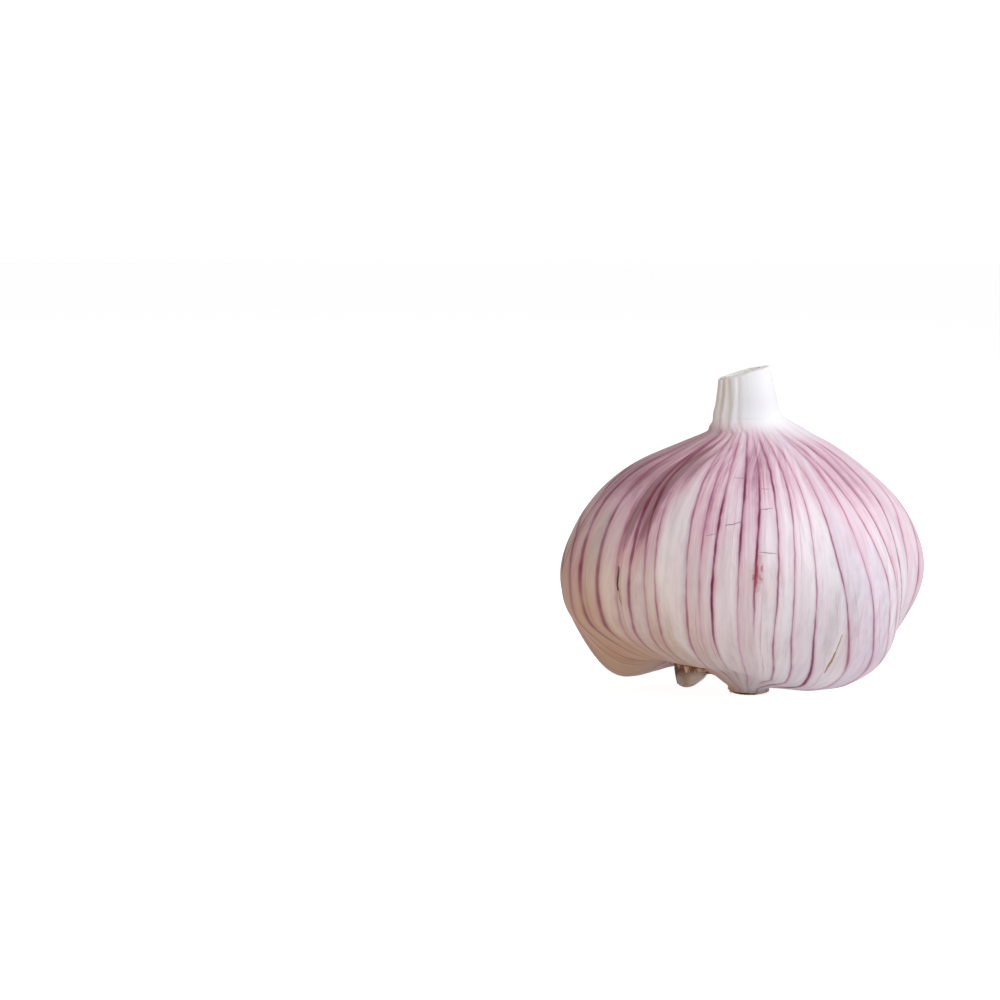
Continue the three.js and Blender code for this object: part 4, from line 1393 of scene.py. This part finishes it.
# %% The clove's heel and the torn skin
TATTER_LINE = ((-47.5, 14.2), (-26, 12.5))  # azimuth, and length along the skin from the foot
TORN_THICKNESS = 0.14  # mm
SCAR_WAY = np.array([0.25, -0.55, -0.80])  # from the clove's middle to the scar
SCAR_REACH = 19  # degrees from the scar's middle to its rim


def make_heel():
    """An egg: a unit ball's points scaled by the heel's half sizes, with wrinkles as a ripple of the
    angle round it that fades towards its poles, and a scar as a dent with a rim at the bottom, on the
    side of the root. It is reddish on one side, and reddish brown towards its top as painted shade under
    the torn strip."""
    columns, rows = 160, 96
    around = column_azimuths(columns)
    down = np.radians(np.linspace(1.2, 178.8, rows))[::-1, None]
    unit = np.stack([np.sin(down) * np.sin(np.radians(around)), -np.sin(down) * np.cos(np.radians(around)),
                     np.cos(down) + 0 * around], axis=-1)
    degrees = np.repeat(around, rows, axis=0)
    wrinkle = 0.012 * ripple(degrees, down * 3, 101, 12, (6, 20), 0.3) * np.sin(down)
    scar_at = SCAR_WAY / np.linalg.norm(SCAR_WAY)
    gap = np.degrees(np.arccos(np.clip(unit @ scar_at, -1, 1)))
    scar = 1 - step(gap, SCAR_REACH - 5, SCAR_REACH)
    size = 1 + wrinkle - 0.035 * scar + 0.02 * bell(gap - SCAR_REACH, 3)
    middle, directions = heel_frame()
    grid = middle + (unit[..., [1, 0, 2]] * [-1, 1, 1] * HEEL_HALF_SIZE * size[..., None]) @ directions
    grid[..., 2] = np.maximum(grid[..., 2], CLOVE_LOWEST)
    # Reddish on one side, and painted shade in reddish brown from 2.6 mm up, under the torn strip.
    reddish_and_shade = np.clip(0.95 * bell(turn(degrees, 28), 48) + 0.6 * step(grid[..., 2], 2.6, 4.2), 0, 0.95)
    values = {"scar": np.concatenate([scar.ravel() * 0.8, [0, 0]]),
              "reddish_and_shade": np.concatenate([reddish_and_shade.ravel(), [0, 0]])}
    made = closed_surface("clove_heel", grid, CLOVE, values)
    turns = np.concatenate([degrees.ravel(), [0, 0]])
    ups = np.concatenate([np.repeat(down * 5, columns, axis=1).ravel(), [0, 0]])
    add_map(made, "clove_map", turns, ups, 360)
    settle(made, "bare_clove")
    return made


def make_fringe():
    """A ragged ribbon round the bare clove. From a point on the skin under the clove, a ray goes out in
    each direction over the skin until it leaves the clove. The ribbon's rows lie across that edge, and
    its inner edge runs in to ragged tips that lie on the clove."""
    directions, steps = 300, 160
    places, lengths = even_places(OUTLINE, SKIN_ROWS)
    bearing = np.radians(360 * np.arange(directions) / directions)
    low_rows = slice(0, 40)  # near the foot, where the outline only widens
    radii = curve_through(OUTLINE, places)[low_rows, 0]
    start_length = np.interp(HEEL_DISTANCE, radii, lengths[low_rows])
    degrees_per_mm = 1 / (math.radians(1) * HEEL_DISTANCE)

    def on_skin(far):
        """Points of the skin, and their outward directions, at distances along each ray."""
        azimuth = HEEL_AZIMUTH + far * np.cos(bearing) * degrees_per_mm
        length = np.clip(start_length + far * np.sin(bearing), 0.5, None)
        nudge = 0.05

        def at(az, along):
            return skin_surface(az, np.interp(along, lengths, places))[0]

        here = at(azimuth, length)
        across = at(azimuth + nudge, length) - here
        up = at(azimuth, length + nudge) - here
        normal = np.cross(across, up)
        return here, normal / np.linalg.norm(normal, axis=-1, keepdims=True)

    far = np.linspace(0.5, 12, steps)[:, None] + 0 * bearing
    reach = heel_reach(on_skin(far)[0])
    edge = far[np.argmax(reach > 1.03, axis=0), np.arange(directions)]
    edge = np.convolve(np.concatenate([edge[-6:], edge, edge[:6]]), np.ones(13) / 13, "valid")
    degrees = np.degrees(bearing)
    jag = np.abs(ripple(degrees, 0 * degrees, 111, 10, (14, 60), 0)) ** 1.2
    inner = 0.25 + 0.75 * jag
    outer = 0.8 + 0.25 * ripple(degrees, 0 * degrees, 112, 8, (5, 30), 0)
    ways = np.array([-1, -0.6, -0.2, 0.1, 0.5, 1.0])[:, None]
    spread = edge + np.where(ways < 0, ways * inner, ways * outer)
    points, normals = on_skin(spread)
    towards = np.maximum(np.cos(bearing), 0) ** 1.5  # on the side that faces the front
    lift = np.array([0.30, 0.38, 0.42, 0.40, 0.30, 0.12])[:, None] * (1 + 1.1 * towards)
    curl = (0.12 + 0.16 * towards) * ripple(degrees, ways, 113, 8, (6, 26), 0.5)
    top = points + normals * (lift + curl * (ways < 0.5))[..., None]
    middle, _ = heel_frame()
    reach = heel_reach(top)[..., None]
    top = np.where(reach < 1.04, middle + (top - middle) * 1.04 / reach, top)
    below = top - normals * TORN_THICKNESS
    grid = np.concatenate([top[::-1], below])[::-1]
    grid[..., 2] = np.maximum(grid[..., 2], CLOVE_LOWEST)
    sound = np.repeat(step(ways, -0.2, 0.9), directions, axis=1)
    values = {"sound": np.concatenate([sound[::-1], sound])[::-1].ravel()}
    made = shell_surface("torn_skin", grid, FRINGE, values)
    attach(made, "root")
    return made


def make_tatter():
    """A thin strip of torn skin that hangs from the rim in front of the bare clove. It follows a line on
    the skin from one azimuth and length to another, and its lower edge is ragged: the drop is a smooth
    seeded noise to a power under 1, so it has blunt tips and narrow clefts. Patches of it are sound and
    pale. The rest, its top band and the gaps between the patches, is brown, partly the dried torn edge
    and partly painted shade in the crease under the rim and between the patches. Each ring of points runs
    down the front of the strip and up its back."""
    stretches, rows = 150, 5
    way = np.linspace(0, 1, stretches)[:, None]
    (start_azimuth, start_length), (end_azimuth, end_length) = TATTER_LINE
    azimuth = start_azimuth + (end_azimuth - start_azimuth) * way
    places, lengths = even_places(OUTLINE, SKIN_ROWS)
    along = start_length + (end_length - start_length) * way**2
    line = skin_surface(azimuth, np.interp(along, lengths, places))[0]
    turns = 360 * way
    drop = 0.75 + 0.45 * np.abs(ripple(turns, 0 * turns, 121, 6, (1, 6), 0)) ** 0.8
    drop = drop * np.sin(np.pi * np.clip(way, 0.004, 0.996)) ** 0.4
    share = np.linspace(-0.3, 1, rows)[None, :]
    wave = 0.14 * ripple(turns, share, 122, 8, (2, 9), 0.8) * np.maximum(share, 0)
    front = line + np.stack([0 * drop * share, -wave - 0.05, -drop * share], axis=-1)
    grid = np.concatenate([front, front[:, ::-1] + [0, TORN_THICKNESS, 0]], axis=1)
    # Brown at the top and between the pale patches: partly the torn edge's own colour, partly painted shade.
    patches = step(ripple(turns, share * 2, 123, 6, (1, 6), 1.2), -0.3, 0.5) * step(share, 0.1, 0.35)
    sound = np.concatenate([patches, patches[:, ::-1]], axis=1)
    values = {"sound": np.concatenate([sound.ravel(), [0, 0]])}
    made = closed_surface("torn_rim", grid, FRINGE, values)
    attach(made, "root")
    return made


clove_heel = make_heel()
torn_skin = make_fringe()
torn_rim = make_tatter()

# %% [markdown]
# ## Floor and light
# The bulb stands in even, bright light on a pale floor. A broad lamp on the right gives the skin its
# gloss and leaves the left side in soft shade. A second lamp in front and a weak one above soften that
# shade, a weak warm lamp low on the left stands for light thrown back by other things, and the
# surroundings fill the rest. The floor glows, so it stays near white round the bulb.

# %% Floor and light
FLOOR_DARK, FLOOR_PALE = screen(196, 196, 197), screen(202, 202, 203)
FLOOR_GLOW, FLOOR_BOUNCE = 0.88, 0.30  # how bright the floor is made to look, and how much light it gives
FLOOR_HALF = 5.0  # metres
WORLD_LOOK, WORLD_LIGHT = 1.05, 0.18  # how bright the surroundings look, and how much light they give


def make_floor():
    """A flat square with a pale, faintly mottled material."""
    made, tree, shader = new_material("floor")
    place = node(tree, "ShaderNodeTexCoord").outputs["Object"]
    cloud = soft_noise(tree, place, 9.0, 2.0)
    tree.links.new(mixed(tree, cloud, FLOOR_DARK, FLOOR_PALE), shader.inputs["Base Color"])
    shader.inputs["Roughness"].default_value = 0.8
    shader.inputs["Specular IOR Level"].default_value = 0.1
    shader.inputs["Emission Color"].default_value = (1, 1, 1, 1)
    seen = node(tree, "ShaderNodeLightPath").outputs["Is Camera Ray"]
    glow = calc(tree, "MULTIPLY_ADD", seen, FLOOR_GLOW - FLOOR_BOUNCE, FLOOR_BOUNCE)
    tree.links.new(glow, shader.inputs["Emission Strength"])
    mesh = bpy.data.meshes.new("floor")
    half = FLOOR_HALF
    corners = [(-half, -half, 0), (half, -half, 0), (half, half, 0), (-half, half, 0)]
    mesh.from_pydata(corners, [], [(0, 1, 2, 3)])
    mesh.materials.append(made)
    floor = bpy.data.objects.new("floor", mesh)
    bpy.context.scene.collection.objects.link(floor)


def lamp(name, azimuth, elevation, distance, size, watts, colour):
    """A square lamp that faces the bulb's middle from an azimuth and an elevation in degrees."""
    data = bpy.data.lights.new(name, "AREA")
    data.size = size
    data.energy = watts
    data.color = colour
    raised, turned = math.radians(elevation), math.radians(azimuth)
    flat = math.cos(raised)
    way = Vector((flat * math.sin(turned), -flat * math.cos(turned), math.sin(raised)))
    made = bpy.data.objects.new(name, data)
    made.location = Vector(AIM_POINT * MM) + way * distance
    made.rotation_euler = way.to_track_quat("Z", "Y").to_euler()
    bpy.context.scene.collection.objects.link(made)


make_floor()
# Each lamp: azimuth, elevation, distance and size in metres, watts, colour.
lamp("key", 98, 42, 0.7, 0.45, 3.0, (0.98, 0.97, 1.0))
lamp("front", 20, 38, 0.7, 0.45, 2.25, (0.98, 0.98, 1.0))
lamp("top", -10, 78, 0.7, 0.45, 0.7, (1.0, 1.0, 1.0))
lamp("warm_side", -76, 0, 0.5, 0.25, 0.50, (1.0, 0.78, 0.50))

world = bpy.data.worlds.new("surroundings")
bpy.context.scene.world = world
world.use_nodes = True
world.node_tree.nodes.clear()
seen = node(world.node_tree, "ShaderNodeLightPath").outputs["Is Camera Ray"]
strength = calc(world.node_tree, "MULTIPLY_ADD", seen, WORLD_LOOK - WORLD_LIGHT, WORLD_LIGHT)
background = node(world.node_tree, "ShaderNodeBackground", {"Color": (1, 1, 1, 1), "Strength": strength})
node(world.node_tree, "ShaderNodeOutputWorld", {"Surface": background.outputs[0]})
bpy.context.scene.view_settings.view_transform = "Standard"
bpy.context.scene.view_settings.look = "None"
